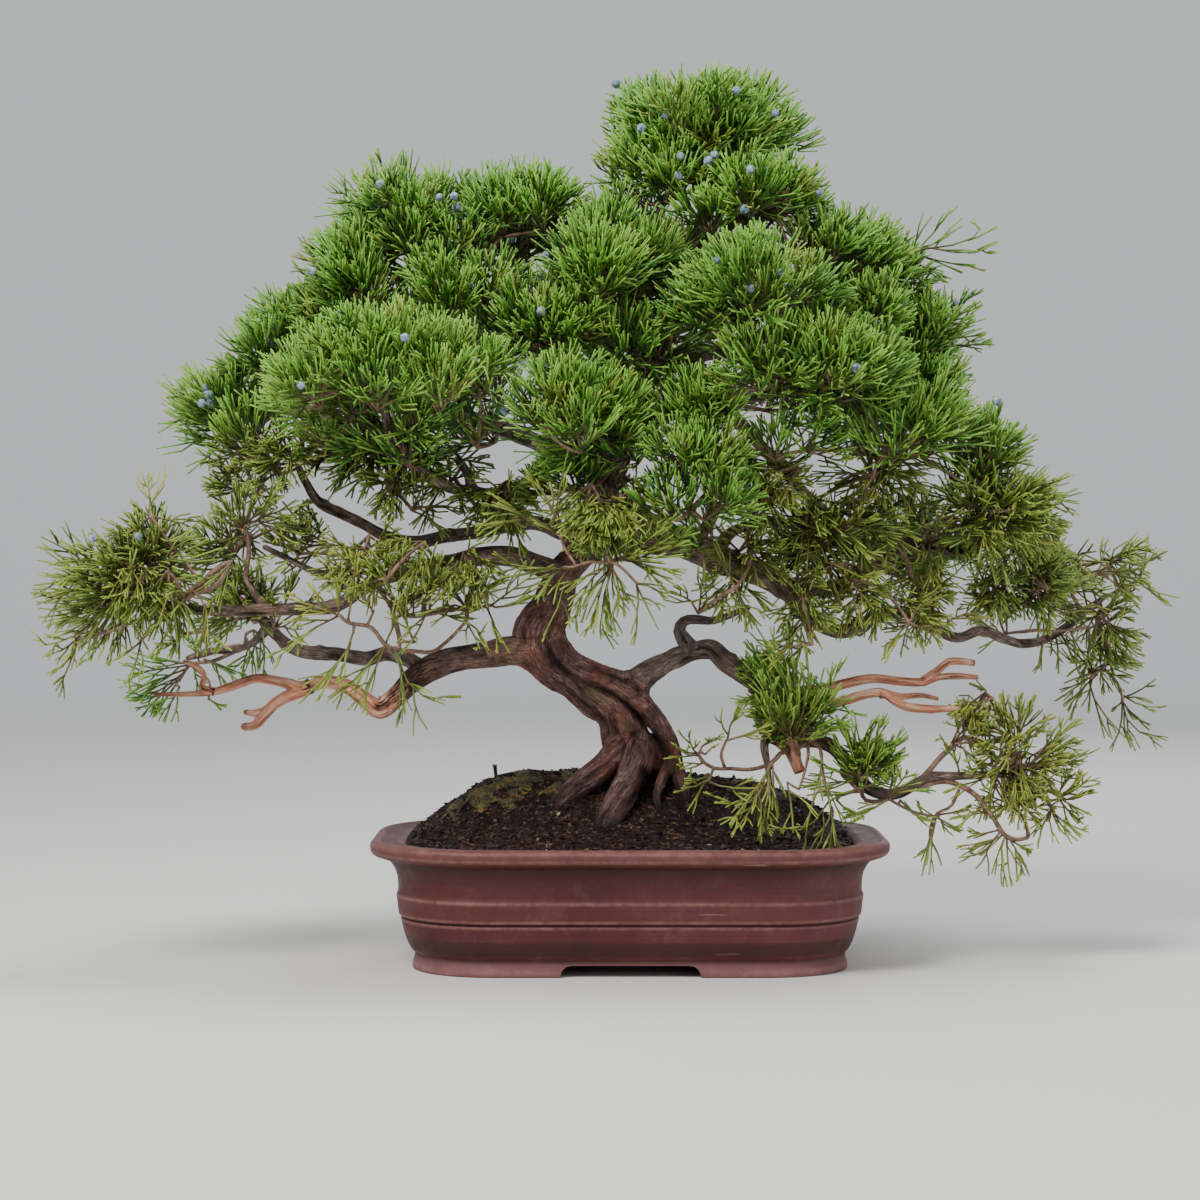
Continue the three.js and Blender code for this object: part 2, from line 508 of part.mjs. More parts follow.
// Half-space on the far side of a plane, as a block that is larger than the tree
function beyond(point, direction) {
  const size = 3000;
  const geometry = new THREE.BoxGeometry(size, size, size);
  geometry.translate(0, 0, size / 2);
  const turn = new THREE.Quaternion().setFromUnitVectors(new THREE.Vector3(0, 0, 1), direction);
  geometry.applyQuaternion(turn);
  geometry.translate(point.x, point.y, point.z);
  return solidOf(geometry);
}

// A pad is an ellipsoid, cut flat where it would run into its neighbours and hollowed for the wood
function padShape([, x, z, y, halfX, halfZ, halfY]) {
  return { centre: sight([x, z, y]), half: new THREE.Vector3(halfX, halfY, halfZ) };
}

function padSolid(index, room) {
  const { centre, half } = padShape(pads[index]);
  const geometry = new THREE.IcosahedronGeometry(1, 1);
  geometry.scale(half.x, half.y, half.z);
  geometry.translate(centre.x, centre.y, centre.z);
  let solid = solidOf(geometry);
  pads.forEach((entry, other) => {
    if (other === index) return;
    const next = padShape(entry);
    const toNext = next.centre.clone().sub(centre);
    const distance = toNext.length();
    const direction = toNext.normalize();
    const own = half.clone().multiply(direction).length();
    const theirs = next.half.clone().multiply(direction).length();
    if (own + theirs < distance) return;
    const plane = distance * own / (own + theirs) - padGap / 2;
    solid = solid.subtract(beyond(centre.clone().addScaledVector(direction, plane), direction));
  });
  return whole(solid.subtract(room));
}

// Wood first: each later limb is cut back to just clear of what carries it
const woodNodes = [
  ['trunk', trunkLimbs, trunkSides, bark],
  ['jin_left', jinLeft, boughSides + 1, deadwood],
];
for (const [name, limbs] of Object.entries(boughs)) woodNodes.push([name, limbs, boughSides, bark]);
woodNodes.push(['jin_right_upper', jinRightUpper, boughSides, deadwood]);
woodNodes.push(['jin_right_lower', jinRightLower, boughSides, deadwood]);

let woodRoom;
let trunkRoom;
let padRoom;
for (const [name, limbs, sides, finish] of woodNodes) {
  const grown = wood(limbs, sides);
  const room = wood(limbs, sides, pocket);
  place(name, woodRoom ? grown.subtract(woodRoom) : grown, finish);
  woodRoom = woodRoom ? woodRoom.add(room) : room;
  if (name === 'trunk') trunkRoom = room;
  padRoom = padRoom ? padRoom.add(squareRoom(limbs)) : squareRoom(limbs);
}
pads.forEach(([name, , , , , , , finish], index) => place(name, padSolid(index, padRoom), finish));

place('pot', pot(), clay);
const holes = [['left', -drainX], ['right', drainX]];
const wireRoom = anchorWire(pocket);
let soil = oblong(soilProfile, turnSegments).intersect(mound()).subtract(trunkRoom).subtract(wireRoom);
for (const [side, x] of holes) {
  place(`drain_screen_${side}`, screen(x), plastic);
  place(`screen_clip_${side}`, clip(x), steel);
  const roomSide = screenSide + 2 * pocket;
  const screenRoom = block(roomSide, roomSide, screenThickness + pocket, x, 0, screenBottom);
  soil = soil.subtract(screenRoom).subtract(clip(x, pocket));
}
place('soil', whole(soil), earth);
place('anchor_wire', anchorWire(), darkWire);

const mossPatches = {
  moss_left: [-112, -2, 48, 18, 3.5, 0.15],
  moss_behind_trunk: [-48, 62, 20, 12, 5, 0],
  moss_right: [98, 0, 18, 14, 4, 0],
};
for (const [name, numbers] of Object.entries(mossPatches)) {
  const patch = mossPatch(...numbers).subtract(trunkRoom).subtract(wireRoom);
  place(name, patch, mossGreen);
}

export default group;
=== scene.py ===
# Juniper bonsai in a long clay tray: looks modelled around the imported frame. Metres, +Z up, -Y is the front.
import json
from math import cos, pi, radians, sin, sqrt, tau

import bmesh
import bpy
import numpy as np
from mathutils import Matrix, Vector, noise


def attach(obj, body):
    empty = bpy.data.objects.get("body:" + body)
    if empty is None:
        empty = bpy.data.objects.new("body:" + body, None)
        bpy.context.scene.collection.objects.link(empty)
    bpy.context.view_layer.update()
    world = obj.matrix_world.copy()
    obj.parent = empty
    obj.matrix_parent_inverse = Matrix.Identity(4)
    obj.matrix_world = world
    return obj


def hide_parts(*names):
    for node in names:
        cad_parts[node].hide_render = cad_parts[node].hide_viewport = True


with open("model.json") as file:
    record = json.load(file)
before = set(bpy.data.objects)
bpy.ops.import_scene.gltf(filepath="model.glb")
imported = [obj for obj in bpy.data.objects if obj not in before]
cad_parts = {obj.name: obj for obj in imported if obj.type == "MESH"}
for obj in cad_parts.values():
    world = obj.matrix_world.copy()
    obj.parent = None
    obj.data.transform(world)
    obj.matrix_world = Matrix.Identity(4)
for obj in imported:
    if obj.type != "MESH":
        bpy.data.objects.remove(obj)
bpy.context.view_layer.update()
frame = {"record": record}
bpy.ops.object.select_all(action='DESELECT')
print("frame loaded")

mm = 0.001
bodyName = "root"

viewPoint = np.array([-24.4, -2541.0, 352.0])  # eye of the front view that the tree is laid out in
groundBelow = 4.0
up = np.array([0.0, 0.0, 1.0])


# Where a point of the front view, x and z in its middle plane, lies when it is y deep
def sight(entry):
    x, z, y = entry[:3]
    shown = np.array([x, 0.0, z + groundBelow])
    reach = (y - viewPoint[1]) / -viewPoint[1]
    return (viewPoint + (shown - viewPoint) * reach) * mm


def unit(v):
    v = np.asarray(v, dtype=float)
    length = np.linalg.norm(v, axis=-1, keepdims=True)
    return v / np.maximum(length, 1e-12)


def unitWheel(steps):
    turns = np.arange(steps) * tau / steps
    return turns, np.cos(turns), np.sin(turns)


# Quads between rings of points that follow one another, as index rows
def ringFaces(rings, sides, first=0, turned=False):
    faces = []
    for near in range(first, first + (rings - 1) * sides, sides):
        for k in range(sides):
            n = (k + 1) % sides
            a, b, c, d = near + k, near + n, near + sides + n, near + sides + k
            faces.append((a, d, c, b) if turned else (a, b, c, d))
    return faces


def placeObject(name, data):
    placed = bpy.data.objects.new(name, data)
    bpy.context.collection.objects.link(placed)
    return placed


# Material helpers. A value is a socket, which is linked, or a number or colour, which is set
def setInputs(node, values):
    for name, value in values.items():
        if isinstance(value, bpy.types.NodeSocket):
            node.id_data.links.new(value, node.inputs[name])
        else:
            node.inputs[name].default_value = value
    return node


def addNode(tree, kind, values):
    return setInputs(tree.nodes.new("ShaderNode" + kind), values)


def freshFinish(name):
    finish = bpy.data.materials.new(name)
    finish.use_nodes = True
    tree = finish.node_tree
    return finish, tree.nodes["Principled BSDF"], addNode(tree, "TexCoord", {}).outputs["Object"]


stageValues = {
    "floorColour": (0.70, 0.69, 0.67, 1.0),
    "worldColour": (0.86, 0.90, 0.96, 1.0),
    "worldStrength": 0.36,
    "keyLight": 72.0,  # watts, as for the next three
    "topLight": 30.0,
    "fillLight": 12.0,
    "backLight": 16.0,
    "floorReach": 5.0,  # the floor is round and turns up into a wall all the way about
    "wallBend": 2.2,
    "wallTop": 5.5,
    "wallGlow": 0.24,
    "lens": 92.0,
    "lookDown": 1.214,  # degrees
}


def makeStage():
    reach, bend, steps = stageValues["floorReach"], stageValues["wallBend"], 96
    rows = [(0.6, 0.0), (2.0, 0.0), (reach, 0.0)]
    rows += [(reach + bend * sin(a), bend - bend * cos(a)) for a in np.linspace(0.1, pi / 2, 14)]
    rows += [(reach + bend, stageValues["wallTop"])]
    _, c, s = unitWheel(steps)
    verts = [(r * c[k], r * s[k], z) for r, z in rows for k in range(steps)]
    mesh = bpy.data.meshes.new("studioFloor")
    mesh.from_pydata(verts, [], [tuple(range(steps))] + ringFaces(len(rows), steps, turned=True))
    mesh.shade_smooth()
    finish, shader, place = freshFinish("paleFloor")
    far = finish.node_tree.nodes.new("ShaderNodeVectorMath")
    far.operation = 'LENGTH'
    setInputs(far, {"Vector": place})
    glow = addNode(finish.node_tree, "MapRange", {"Value": far.outputs["Value"], "From Min": 1.0, "From Max": reach,
                                                  "To Max": stageValues["wallGlow"]})
    setInputs(shader, {"Base Color": stageValues["floorColour"], "Roughness": 0.9, "Specular IOR Level": 0.2,
                       "Emission Color": stageValues["worldColour"], "Emission Strength": glow.outputs["Result"]})
    mesh.materials.append(finish)
    placeObject("studioFloor", mesh)


def areaLight(name, place, aim, size, colour):
    light = bpy.data.lights.new(name, 'AREA')
    light.shape = 'DISK'
    light.size = size
    light.energy = stageValues[name]
    light.color = colour
    lamp = placeObject(name, light)
    lamp.location = place
    lamp.visible_camera = False
    lamp.rotation_euler = (Vector(aim) - Vector(place)).to_track_quat('-Z', 'Y').to_euler()


def makeLights():
    areaLight("keyLight", (-1.0, -1.5, 2.1), (0.0, 0.0, 0.45), 1.1, (1.0, 0.98, 0.94))
    areaLight("topLight", (0.25, 0.1, 2.3), (0.0, 0.0, 0.5), 1.0, (0.96, 0.98, 1.0))
    areaLight("fillLight", (2.0, -1.6, 0.9), (0.0, 0.0, 0.35), 1.6, (0.94, 0.97, 1.0))
    areaLight("backLight", (0.9, 2.2, 1.7), (0.0, 0.0, 0.4), 1.4, (1.0, 1.0, 1.0))
    world = bpy.data.worlds.new("studioAir")
    bpy.context.scene.world = world
    world.use_nodes = True
    setInputs(world.node_tree.nodes["Background"],
              {"Color": stageValues["worldColour"], "Strength": stageValues["worldStrength"]})


def makeCamera():
    data = bpy.data.cameras.new("photoCamera")
    data.sensor_width = 36.0
    data.lens = stageValues["lens"]
    data.clip_end = 50.0
    camera = placeObject("photoCamera", data)
    camera.location = tuple(viewPoint * mm)
    camera.rotation_euler = (radians(90.0 - stageValues["lookDown"]), 0.0, 0.0)
    bpy.context.scene.camera = camera


makeStage()
makeLights()
makeCamera()
print("stage ready")

# Every limb's middle line: [x, z, y, radius] in millimetres, from its foot to its tip
woodPlan = {
    "trunk": [
        [[-4, 98, 14, 12], [-3, 122, 13, 13], [-1, 145, 8, 17], [-1, 164, 2, 20], [-3, 180, 0, 20], [-7, 195, -2, 19],
         [-16, 208, -3, 18], [-32, 217, -4, 17.5], [-47, 230, -4, 18.5], [-64, 242, -4, 20.5],
         [-75, 266, -2, 23], [-64, 290, 0, 16.5], [-55, 312, 2, 13.5],
         [-38, 342, 4, 13], [-28, 372, 6, 13], [-14, 405, 8, 13], [0, 445, 10, 12], [20, 495, 12, 11],
         [42, 545, 12, 9], [58, 595, 10, 7], [68, 645, 5, 5], [72, 690, 0, 3]],
        [[-57, 254, -5, 10], [-46, 241, -10, 11], [-24, 231, -14, 10.5], [-5, 222, -16, 10.5], [10, 208, -15, 9.5],
         [22, 194, -13, 8.5], [32, 178, -11, 7.5], [38, 162, -10, 7], [42, 147, -11, 7], [46, 134, -13, 6.5],
         [50, 118, -14, 5]],
        [[-4, 176, -6, 15], [-13, 165, -11, 12.5], [-26, 152, -14, 11], [-38, 143, -16, 10.5], [-48, 134, -18, 10.5],
         [-56, 125, -19, 10], [-64, 112, -22, 8]],
        [[8, 172, -10, 15], [6, 156, -20, 14], [1, 144, -26, 12.5], [-6, 133, -31, 12.5], [-12, 122, -35, 12.5],
         [-18, 110, -38, 12], [-23, 98, -42, 9]],
        [[36, 162, -10, 6], [31, 154, -15, 5], [25.5, 142, -21, 3.8], [23, 132, -25, 3.4], [24, 123, -29, 3.2],
         [27, 115, -32, 3], [29, 106, -35, 2.5]],
        [[18, 162, 2, 13], [36, 149, 4, 11], [49, 134, 10, 8], [61, 120, 14, 6], [74, 108, 18, 4]],
        [[-4, 160, 16, 14], [-22, 142, 34, 12], [-42, 128, 48, 9], [-58, 116, 56, 6]],
        [[16, 160, 16, 13], [32, 140, 32, 11], [46, 124, 44, 8.5], [58, 112, 52, 6]],
        [[16, 180, 0, 11], [24, 168, 2, 12], [28, 154, 4, 12], [32, 140, 7, 10], [38, 122, 10, 7], [42, 108, 12, 5]],
        [[-34, 141, -15, 7], [-45, 138, -9, 5], [-55, 142, -3, 3.8], [-65, 146, 0, 3.3], [-74, 143, 2, 2.5]],
    ],
    "jin_left": [
        [[-74, 250, -6, 14], [-96, 252, -10, 12.5], [-118, 249, -14, 11], [-140, 246, -17, 11],
         [-160, 240, -19, 10.5], [-178, 229, -20, 9.5], [-193, 214, -20, 8.5], [-207, 204, -20, 8.5],
         [-221, 213, -20, 6.5], [-236, 223, -19, 6], [-254, 226, -18, 5.5], [-270, 221, -17, 5.5],
         [-288, 226, -16, 4], [-310, 229, -14, 3.8], [-331, 222, -12, 3.5], [-345, 218, -12, 3],
         [-368, 216, -13, 2.4], [-393, 216, -14, 1.6]],
        [[-344, 218, -12, 2.6], [-354, 222, -12, 2.4], [-353, 233, -12, 2.2], [-360, 240, -12, 2],
         [-369, 243, -12, 1.5]],
        [[-264, 223, -17, 4.6], [-280, 216, -18, 4.6], [-293, 209, -20, 4.4], [-303, 199, -21, 4.6],
         [-311, 190, -22, 4], [-319, 189, -22, 3.4]],
        [[-299, 203, -21, 3.2], [-309, 200, -20, 3], [-318, 201, -20, 2.2]],
    ],
    "jin_right_upper": [
        [[118, 214, -42, 6], [138, 217, -38, 5], [160, 220, -36, 4.4], [180, 225, -35, 4], [202, 229, -34, 3.8],
         [222, 227, -34, 3.6], [242, 226, -34, 3.6], [256, 230, -34, 3], [272, 231, -34, 2.6],
         [289, 230, -34, 1.8]],
        [[244, 227, -34, 2.8], [256, 236, -34, 2.8], [265, 243, -34, 3], [278, 243, -34, 3], [286, 242, -34, 2.6]],
    ],
    "jin_right_lower": [
        [[116, 200, -44, 6], [136, 203, -42, 5], [156, 206, -42, 4.4], [176, 210, -42, 4], [196, 216, -42, 3.8],
         [211, 217, -42, 4], [221, 210, -42, 3.6], [232, 205, -42, 3.4], [252, 204, -42, 3.2],
         [273, 204, -42, 2.6]],
        [[208, 217, -42, 3], [226, 214, -42, 2.4], [242, 215, -42, 2.2], [256, 212, -42, 1.6]],
    ],
    "bough_left_low": [
        [[-168, 236, -18, 6.5], [-184, 245, -6, 6.5], [-200, 250, 2, 6.5], [-220, 246, 6, 6], [-242, 249, 10, 6],
         [-262, 250, 16, 6], [-278, 254, 22, 5.5], [-291, 264, 28, 5], [-301, 274, 32, 5], [-308, 283, 36, 4.5],
         [-326, 296, 40, 4], [-340, 312, 44, 3]],
        [[-299, 272, 31, 4], [-312, 259, 36, 3], [-330, 252, 42, 2.8], [-350, 252, 50, 2.6], [-366, 246, 56, 2.2]],
    ],
    "bough_left_main": [
        [[-52, 314, 0, 10], [-72, 322, -8, 9], [-98, 330, -15, 8.5], [-125, 330, -20, 8], [-150, 323, -22, 8],
         [-172, 320, -25, 6.5], [-198, 314, -30, 6], [-222, 303, -38, 5.5], [-244, 289, -48, 5.5],
         [-275, 287, -60, 5], [-305, 286, -72, 5], [-340, 285, -85, 4.5], [-380, 289, -98, 4],
         [-415, 302, -108, 3]],
        [[-300, 286, -70, 3.5], [-309, 297, -68, 3], [-318, 312, -65, 2.4]],
        [[-228, 299, -41, 3.5], [-244, 314, -50, 3], [-262, 318, -58, 2.8], [-280, 327, -62, 2.6],
         [-302, 338, -68, 2.2]],
        [[-150, 322, -25, 5], [-166, 306, -52, 4], [-184, 294, -80, 3.4], [-198, 290, -98, 2.6]],
    ],
    "bough_left_mid": [
        [[-40, 345, 4, 9], [-58, 352, 8, 7], [-78, 358, 10, 6], [-102, 355, 12, 5.5], [-128, 350, 12, 5.5],
         [-152, 347, 10, 5.5], [-178, 342, 8, 5.5], [-200, 346, 4, 5], [-222, 358, 0, 4.5], [-242, 367, -6, 4.5],
         [-258, 376, -16, 4], [-268, 392, -26, 3.4], [-274, 404, -35, 2.6]],
    ],
    "bough_left_upper": [
        [[-20, 408, 8, 10], [-48, 405, -10, 7], [-66, 406, -26, 6.5], [-80, 395, -35, 5.5], [-95, 385, -45, 5.5],
         [-112, 381, -51, 5.5], [-130, 384, -61, 5], [-150, 388, -70, 5], [-168, 399, -80, 4.5],
         [-184, 412, -90, 4.5], [-196, 430, -102, 4], [-202, 450, -115, 3.4], [-204, 470, -128, 2.8]],
        [[-130, 384, -61, 4], [-134, 398, -64, 3.4], [-142, 412, -67, 2.6]],
        [[-196, 430, -102, 3.6], [-226, 440, -74, 3.4], [-258, 446, -42, 3.2], [-290, 452, -10, 3],
         [-318, 456, 4, 2.4]],
    ],
    "bough_left_crown": [
        [[4, 455, 10, 9], [-30, 478, 16, 8], [-70, 500, 22, 7.5], [-110, 525, 24, 7], [-145, 560, 22, 6],
         [-168, 595, 16, 4.5], [-176, 620, 12, 3]],
        [[-110, 525, 24, 5.5], [-155, 534, 18, 5], [-200, 540, 10, 4.5], [-240, 545, 4, 3.6], [-260, 548, 2, 2.6]],
    ],
    "bough_centre_crown": [
        [[14, 482, 12, 8], [-8, 520, 0, 7], [-34, 555, -16, 6], [-62, 590, -19, 5], [-88, 615, -16, 4],
         [-96, 634, -10, 2.8]],
        [[-30, 550, -14, 5], [-26, 572, -35, 4.5], [-22, 590, -51, 3]],
    ],
    "bough_front": [
        [[-14, 405, 4, 9], [-24, 420, -32, 7], [-36, 436, -67, 6], [-48, 450, -96, 4.5], [-56, 464, -118, 3]],
        [[-24, 420, -32, 5], [-18, 400, -77, 4.5], [-12, 375, -115, 4], [-14, 350, -141, 3.4], [-18, 332, -150, 2.4]],
    ],
    "bough_right_crown": [
        [[40, 540, 12, 7], [60, 562, -13, 6], [82, 575, -48, 5], [98, 574, -80, 4], [106, 570, -106, 3]],
        [[60, 562, -13, 5], [98, 575, 0, 4.5], [140, 584, 6, 4], [178, 590, 6, 3.4], [202, 592, 4, 2.6]],
        [[60, 562, -13, 4.5], [80, 600, -13, 4.4], [96, 622, -22, 4], [106, 640, -35, 3]],
    ],
    "bough_right_upper": [
        [[18, 490, 12, 9], [50, 497, -6, 8], [80, 503, -29, 7], [106, 511, -54, 6], [128, 514, -83, 4.5],
         [144, 514, -109, 3]],
        [[80, 503, -29, 6], [120, 495, -22, 5.5], [160, 482, -29, 5], [195, 470, -45, 4.4], [220, 460, -58, 3]],
        [[120, 495, -22, 4.5], [165, 508, 4, 4], [210, 520, 16, 3.6], [243, 530, 20, 2.6]],
    ],
    "bough_right_main": [
        [[-38, 338, 4, 12], [-10, 342, -13, 10], [20, 342, -29, 10], [45, 338, -38, 10], [70, 329, -45, 10.5],
         [95, 321, -48, 11], [118, 311, -48, 10.5], [135, 299, -48, 9], [145, 285, -45, 7.5],
         [158, 274, -38, 6.5], [175, 268, -32, 6], [195, 273, -27, 5.5]],
        [[45, 340, -38, 6], [60, 350, -64, 5], [68, 364, -86, 4.5], [66, 384, -106, 4], [60, 402, -122, 3]],
        [[72, 333, -48, 5.5], [82, 348, -54, 4.5], [98, 356, -58, 4], [122, 358, -54, 3.6], [146, 354, -50, 3],
         [164, 352, -48, 2.4]],
        [[188, 271, -28, 5.4], [210, 282, -16, 5], [230, 284, 0, 4.8], [250, 272, 18, 4.6], [272, 263, 32, 4.4],
         [292, 269, 46, 4.2], [308, 263, 58, 4.2], [326, 258, 70, 4], [346, 262, 84, 3.8], [366, 275, 98, 3.4],
         [382, 288, 110, 3], [394, 297, 120, 2.4]],
    ],
    "bough_right_mid": [
        [[-26, 378, 8, 9], [6, 364, 24, 8], [56, 338, 34, 7.5], [106, 314, 36, 7], [150, 302, 34, 7],
         [180, 307, 28, 7], [198, 320, 24, 7], [215, 334, 18, 7], [238, 341, 10, 7], [258, 338, 2, 6],
         [276, 332, -6, 5], [290, 340, -16, 4], [304, 356, -22, 3]],
    ],
    "bough_right_low": [
        [[2, 222, -14, 12], [16, 234, -18, 9.5], [36, 245, -24, 8.4], [55, 252, -30, 7.8], [68, 253, -34, 8],
         [80, 243, -40, 8.5], [94, 233, -44, 8], [110, 222, -46, 8], [116, 208, -46, 8.5], [114, 195, -46, 9.5],
         [116, 185, -46, 8], [126, 179, -46, 6.5], [140, 177, -44, 5.5], [156, 177, -42, 5.5],
         [171, 170, -40, 5.5], [181, 157, -38, 5.5], [190, 145, -36, 5.5], [204, 135, -34, 5],
         [220, 133, -32, 5], [236, 140, -30, 5], [250, 147, -28, 4.5], [270, 148, -28, 3.6],
         [292, 149, -28, 3.2], [312, 151, -28, 2.8], [326, 153, -28, 2.2]],
        [[54, 251, -30, 6], [46, 260, -28, 5.4], [41.5, 270, -26, 4.8], [46, 277, -24, 4.2], [56, 278, -24, 3.8],
         [68, 277, -27, 3.4], [82, 281, -32, 3], [98, 288, -36, 2.4]],
        [[112, 214, -46, 5], [120, 212, -54, 4], [128, 212, -62, 2.8]],
        [[181, 157, -38, 4], [192, 161, -46, 3], [199, 164, -52, 2]],
        [[116, 187, -46, 4], [112, 174, -58, 3.2], [114, 160, -74, 2.8], [116, 146, -88, 2.4], [117, 134, -98, 2]],
        [[128, 179, -46, 6], [134, 170, -54, 5.5], [138, 160, -60, 5], [141, 152, -63, 4.5]],
    ],
    "bough_back_left": [
        [[-18, 398, 8, 9], [-50, 415, 45, 8], [-90, 430, 75, 7], [-130, 445, 100, 6], [-160, 458, 118, 4.5],
         [-176, 468, 130, 3]],
    ],
    "bough_back_right": [
        [[0, 445, 10, 9], [35, 450, 50, 8], [75, 458, 80, 7], [115, 465, 105, 6], [150, 470, 122, 4.5],
         [170, 474, 132, 3]],
        [[75, 458, 80, 6], [110, 420, 100, 5], [150, 378, 114, 4.5], [190, 346, 121, 3.6], [215, 334, 124, 2.8]],
        [[14, 447, 24, 6.5], [10, 470, 60, 6], [4, 500, 95, 5.5], [0, 525, 120, 4.5], [0, 540, 136, 3]],
    ],
}


# A smooth line through the entries, sampled at even steps: centres and radii in metres
def runThrough(points, radii, step):
    ends = np.vstack([2 * points[0] - points[1], points, 2 * points[-1] - points[-2]])
    knots = np.concatenate([[0.0], np.cumsum(np.linalg.norm(np.diff(ends, axis=0), axis=1) ** 0.5)])
    fine, fineRadii = [], []
    for i in range(1, len(ends) - 2):
        p0, p1, p2, p3 = ends[i - 1:i + 3]
        t0, t1, t2, t3 = knots[i - 1:i + 3]
        t = np.linspace(t1, t2, 13)[:-1, None]
        a1 = (t1 - t) / (t1 - t0) * p0 + (t - t0) / (t1 - t0) * p1
        a2 = (t2 - t) / (t2 - t1) * p1 + (t - t1) / (t2 - t1) * p2
        a3 = (t3 - t) / (t3 - t2) * p2 + (t - t2) / (t3 - t2) * p3
        b1 = (t2 - t) / (t2 - t0) * a1 + (t - t0) / (t2 - t0) * a2
        b2 = (t3 - t) / (t3 - t1) * a2 + (t - t1) / (t3 - t1) * a3
        fine.append((t2 - t) / (t2 - t1) * b1 + (t - t1) / (t2 - t1) * b2)
        share = ((t - t1) / (t2 - t1))[:, 0]
        fineRadii.append(radii[i - 1] + (radii[i] - radii[i - 1]) * share)
    fine = np.vstack(fine + [points[-1:]])
    fineRadii = np.concatenate(fineRadii + [radii[-1:]])
    travel = np.concatenate([[0.0], np.cumsum(np.linalg.norm(np.diff(fine, axis=0), axis=1))])
    count = max(int(round(travel[-1] / step)), 3)
    at = np.linspace(0.0, travel[-1], count + 1)
    centres = np.stack([np.interp(at, travel, fine[:, k]) for k in range(3)], axis=1)
    return centres, np.interp(at, travel, fineRadii), at


def runOf(entries, step):
    points = np.array([sight(e) for e in entries])
    return runThrough(points, np.array([e[3] for e in entries], dtype=float) * mm, step)


# Frames that turn as little as they can along a line
def framesOf(centres):
    tangents = unit(np.gradient(centres, axis=0))
    seed = np.eye(3)[np.argmin(np.abs(tangents[0]))]
    side = unit(np.cross(tangents[0], seed))
    sides = [side]
    for t in tangents[1:]:
        side = unit(side - t * np.dot(side, t))
        sides.append(side)
    sides = np.array(sides)
    return tangents, sides, np.cross(tangents, sides)


def flatFaces(faces):
    return np.array([i for face in faces for i in face]), np.array([len(face) for face in faces])


def meshFrom(name, verts, loops, sizes, smooth=True):
    mesh = bpy.data.meshes.new(name)
    verts = np.asarray(verts, dtype=np.float32)
    loops = np.asarray(loops, dtype=np.int32)
    sizes = np.asarray(sizes, dtype=np.int32)
    mesh.vertices.add(len(verts))
    mesh.vertices.foreach_set("co", verts.ravel())
    mesh.loops.add(len(loops))
    mesh.loops.foreach_set("vertex_index", loops)
    mesh.polygons.add(len(sizes))
    starts = np.concatenate([[0], np.cumsum(sizes)[:-1]]).astype(np.int32)
    mesh.polygons.foreach_set("loop_start", starts)
    mesh.polygons.foreach_set("use_smooth", np.full(len(sizes), smooth))
    mesh.update(calc_edges=True)
    mesh.validate()
    return mesh


def trianglesOf(mesh):
    mesh.calc_loop_triangles()
    return len(mesh.loop_triangles)


triangleTally = {}


def finishPiece(piece, finish, replaced=()):
    piece.data.materials.clear()
    piece.data.materials.append(finish)
    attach(piece, bodyName)
    if replaced:
        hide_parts(*replaced)
    triangleTally[piece.name] = trianglesOf(piece.data)
    return piece


def pieceFrom(name, mesh, finish, replaced=()):
    return finishPiece(placeObject(name, mesh), finish, replaced)


def setLayer(mesh, name, kind, field, values):
    layer = mesh.attributes.new(name, kind, 'POINT')
    layer.data.foreach_set(field, np.asarray(values, dtype=np.float32).ravel())


def setTone(mesh, values):
    setLayer(mesh, "tone", 'FLOAT_COLOR', "color", values)


def setGrain(mesh, values):
    setLayer(mesh, "grain", 'FLOAT_VECTOR', "vector", values)


def pointsOf(mesh):
    places = np.empty(len(mesh.vertices) * 3, dtype=np.float32)
    mesh.vertices.foreach_get("co", places)
    return places.reshape(-1, 3).astype(float)


def noiseAlong(travel, scale, shift):
    return noiseAt(np.stack([travel] * 3, axis=1), scale, shift)


def noiseAt(points, scale, shift=(0.0, 0.0, 0.0)):
    rows = np.asarray(points) * scale + np.asarray(shift)
    return np.array([noise.noise(Vector(row)) for row in rows])


def activate(piece):
    bpy.ops.object.select_all(action='DESELECT')
    piece.select_set(True)
    bpy.context.view_layer.objects.active = piece


def applyModifier(piece, kind, **settings):
    activate(piece)
    modifier = piece.modifiers.new(kind.lower(), kind)
    for key, value in settings.items():
        setattr(modifier, key, value)
    bpy.ops.object.modifier_apply(modifier=modifier.name)


def treeOf(*values):
    return next(value for value in values if isinstance(value, bpy.types.NodeSocket)).id_data


def ramp(factor, stops):
    node = addNode(factor.id_data, "ValToRGB", {"Fac": factor})
    while len(node.color_ramp.elements) < len(stops):
        node.color_ramp.elements.new(0.5)
    for element, (place, colour) in zip(node.color_ramp.elements, stops):
        element.position = place
        element.color = (*colour, 1.0) if isinstance(colour, tuple) else (colour, colour, colour, 1.0)
    return node.outputs["Color"]


def mixColour(factor, first, second, kind='MIX'):
    node = treeOf(factor, first, second).nodes.new("ShaderNodeMix")
    node.data_type = 'RGBA'
    node.blend_type = kind
    values = {"Factor": factor, "A": first, "B": second}
    setInputs(node, {name: (*value, 1.0) if isinstance(value, tuple) else value for name, value in values.items()})
    return node.outputs["Result"]


def shaded(colour, *shades):
    for shade in shades:
        colour = mixColour(1.0, colour, shade, 'MULTIPLY')
    return colour


def mathNode(kind, *values, clamp=False):
    node = treeOf(*values).nodes.new("ShaderNodeMath")
    node.operation = kind
    node.use_clamp = clamp
    setInputs(node, dict(enumerate(values)))
    return node.outputs[0]


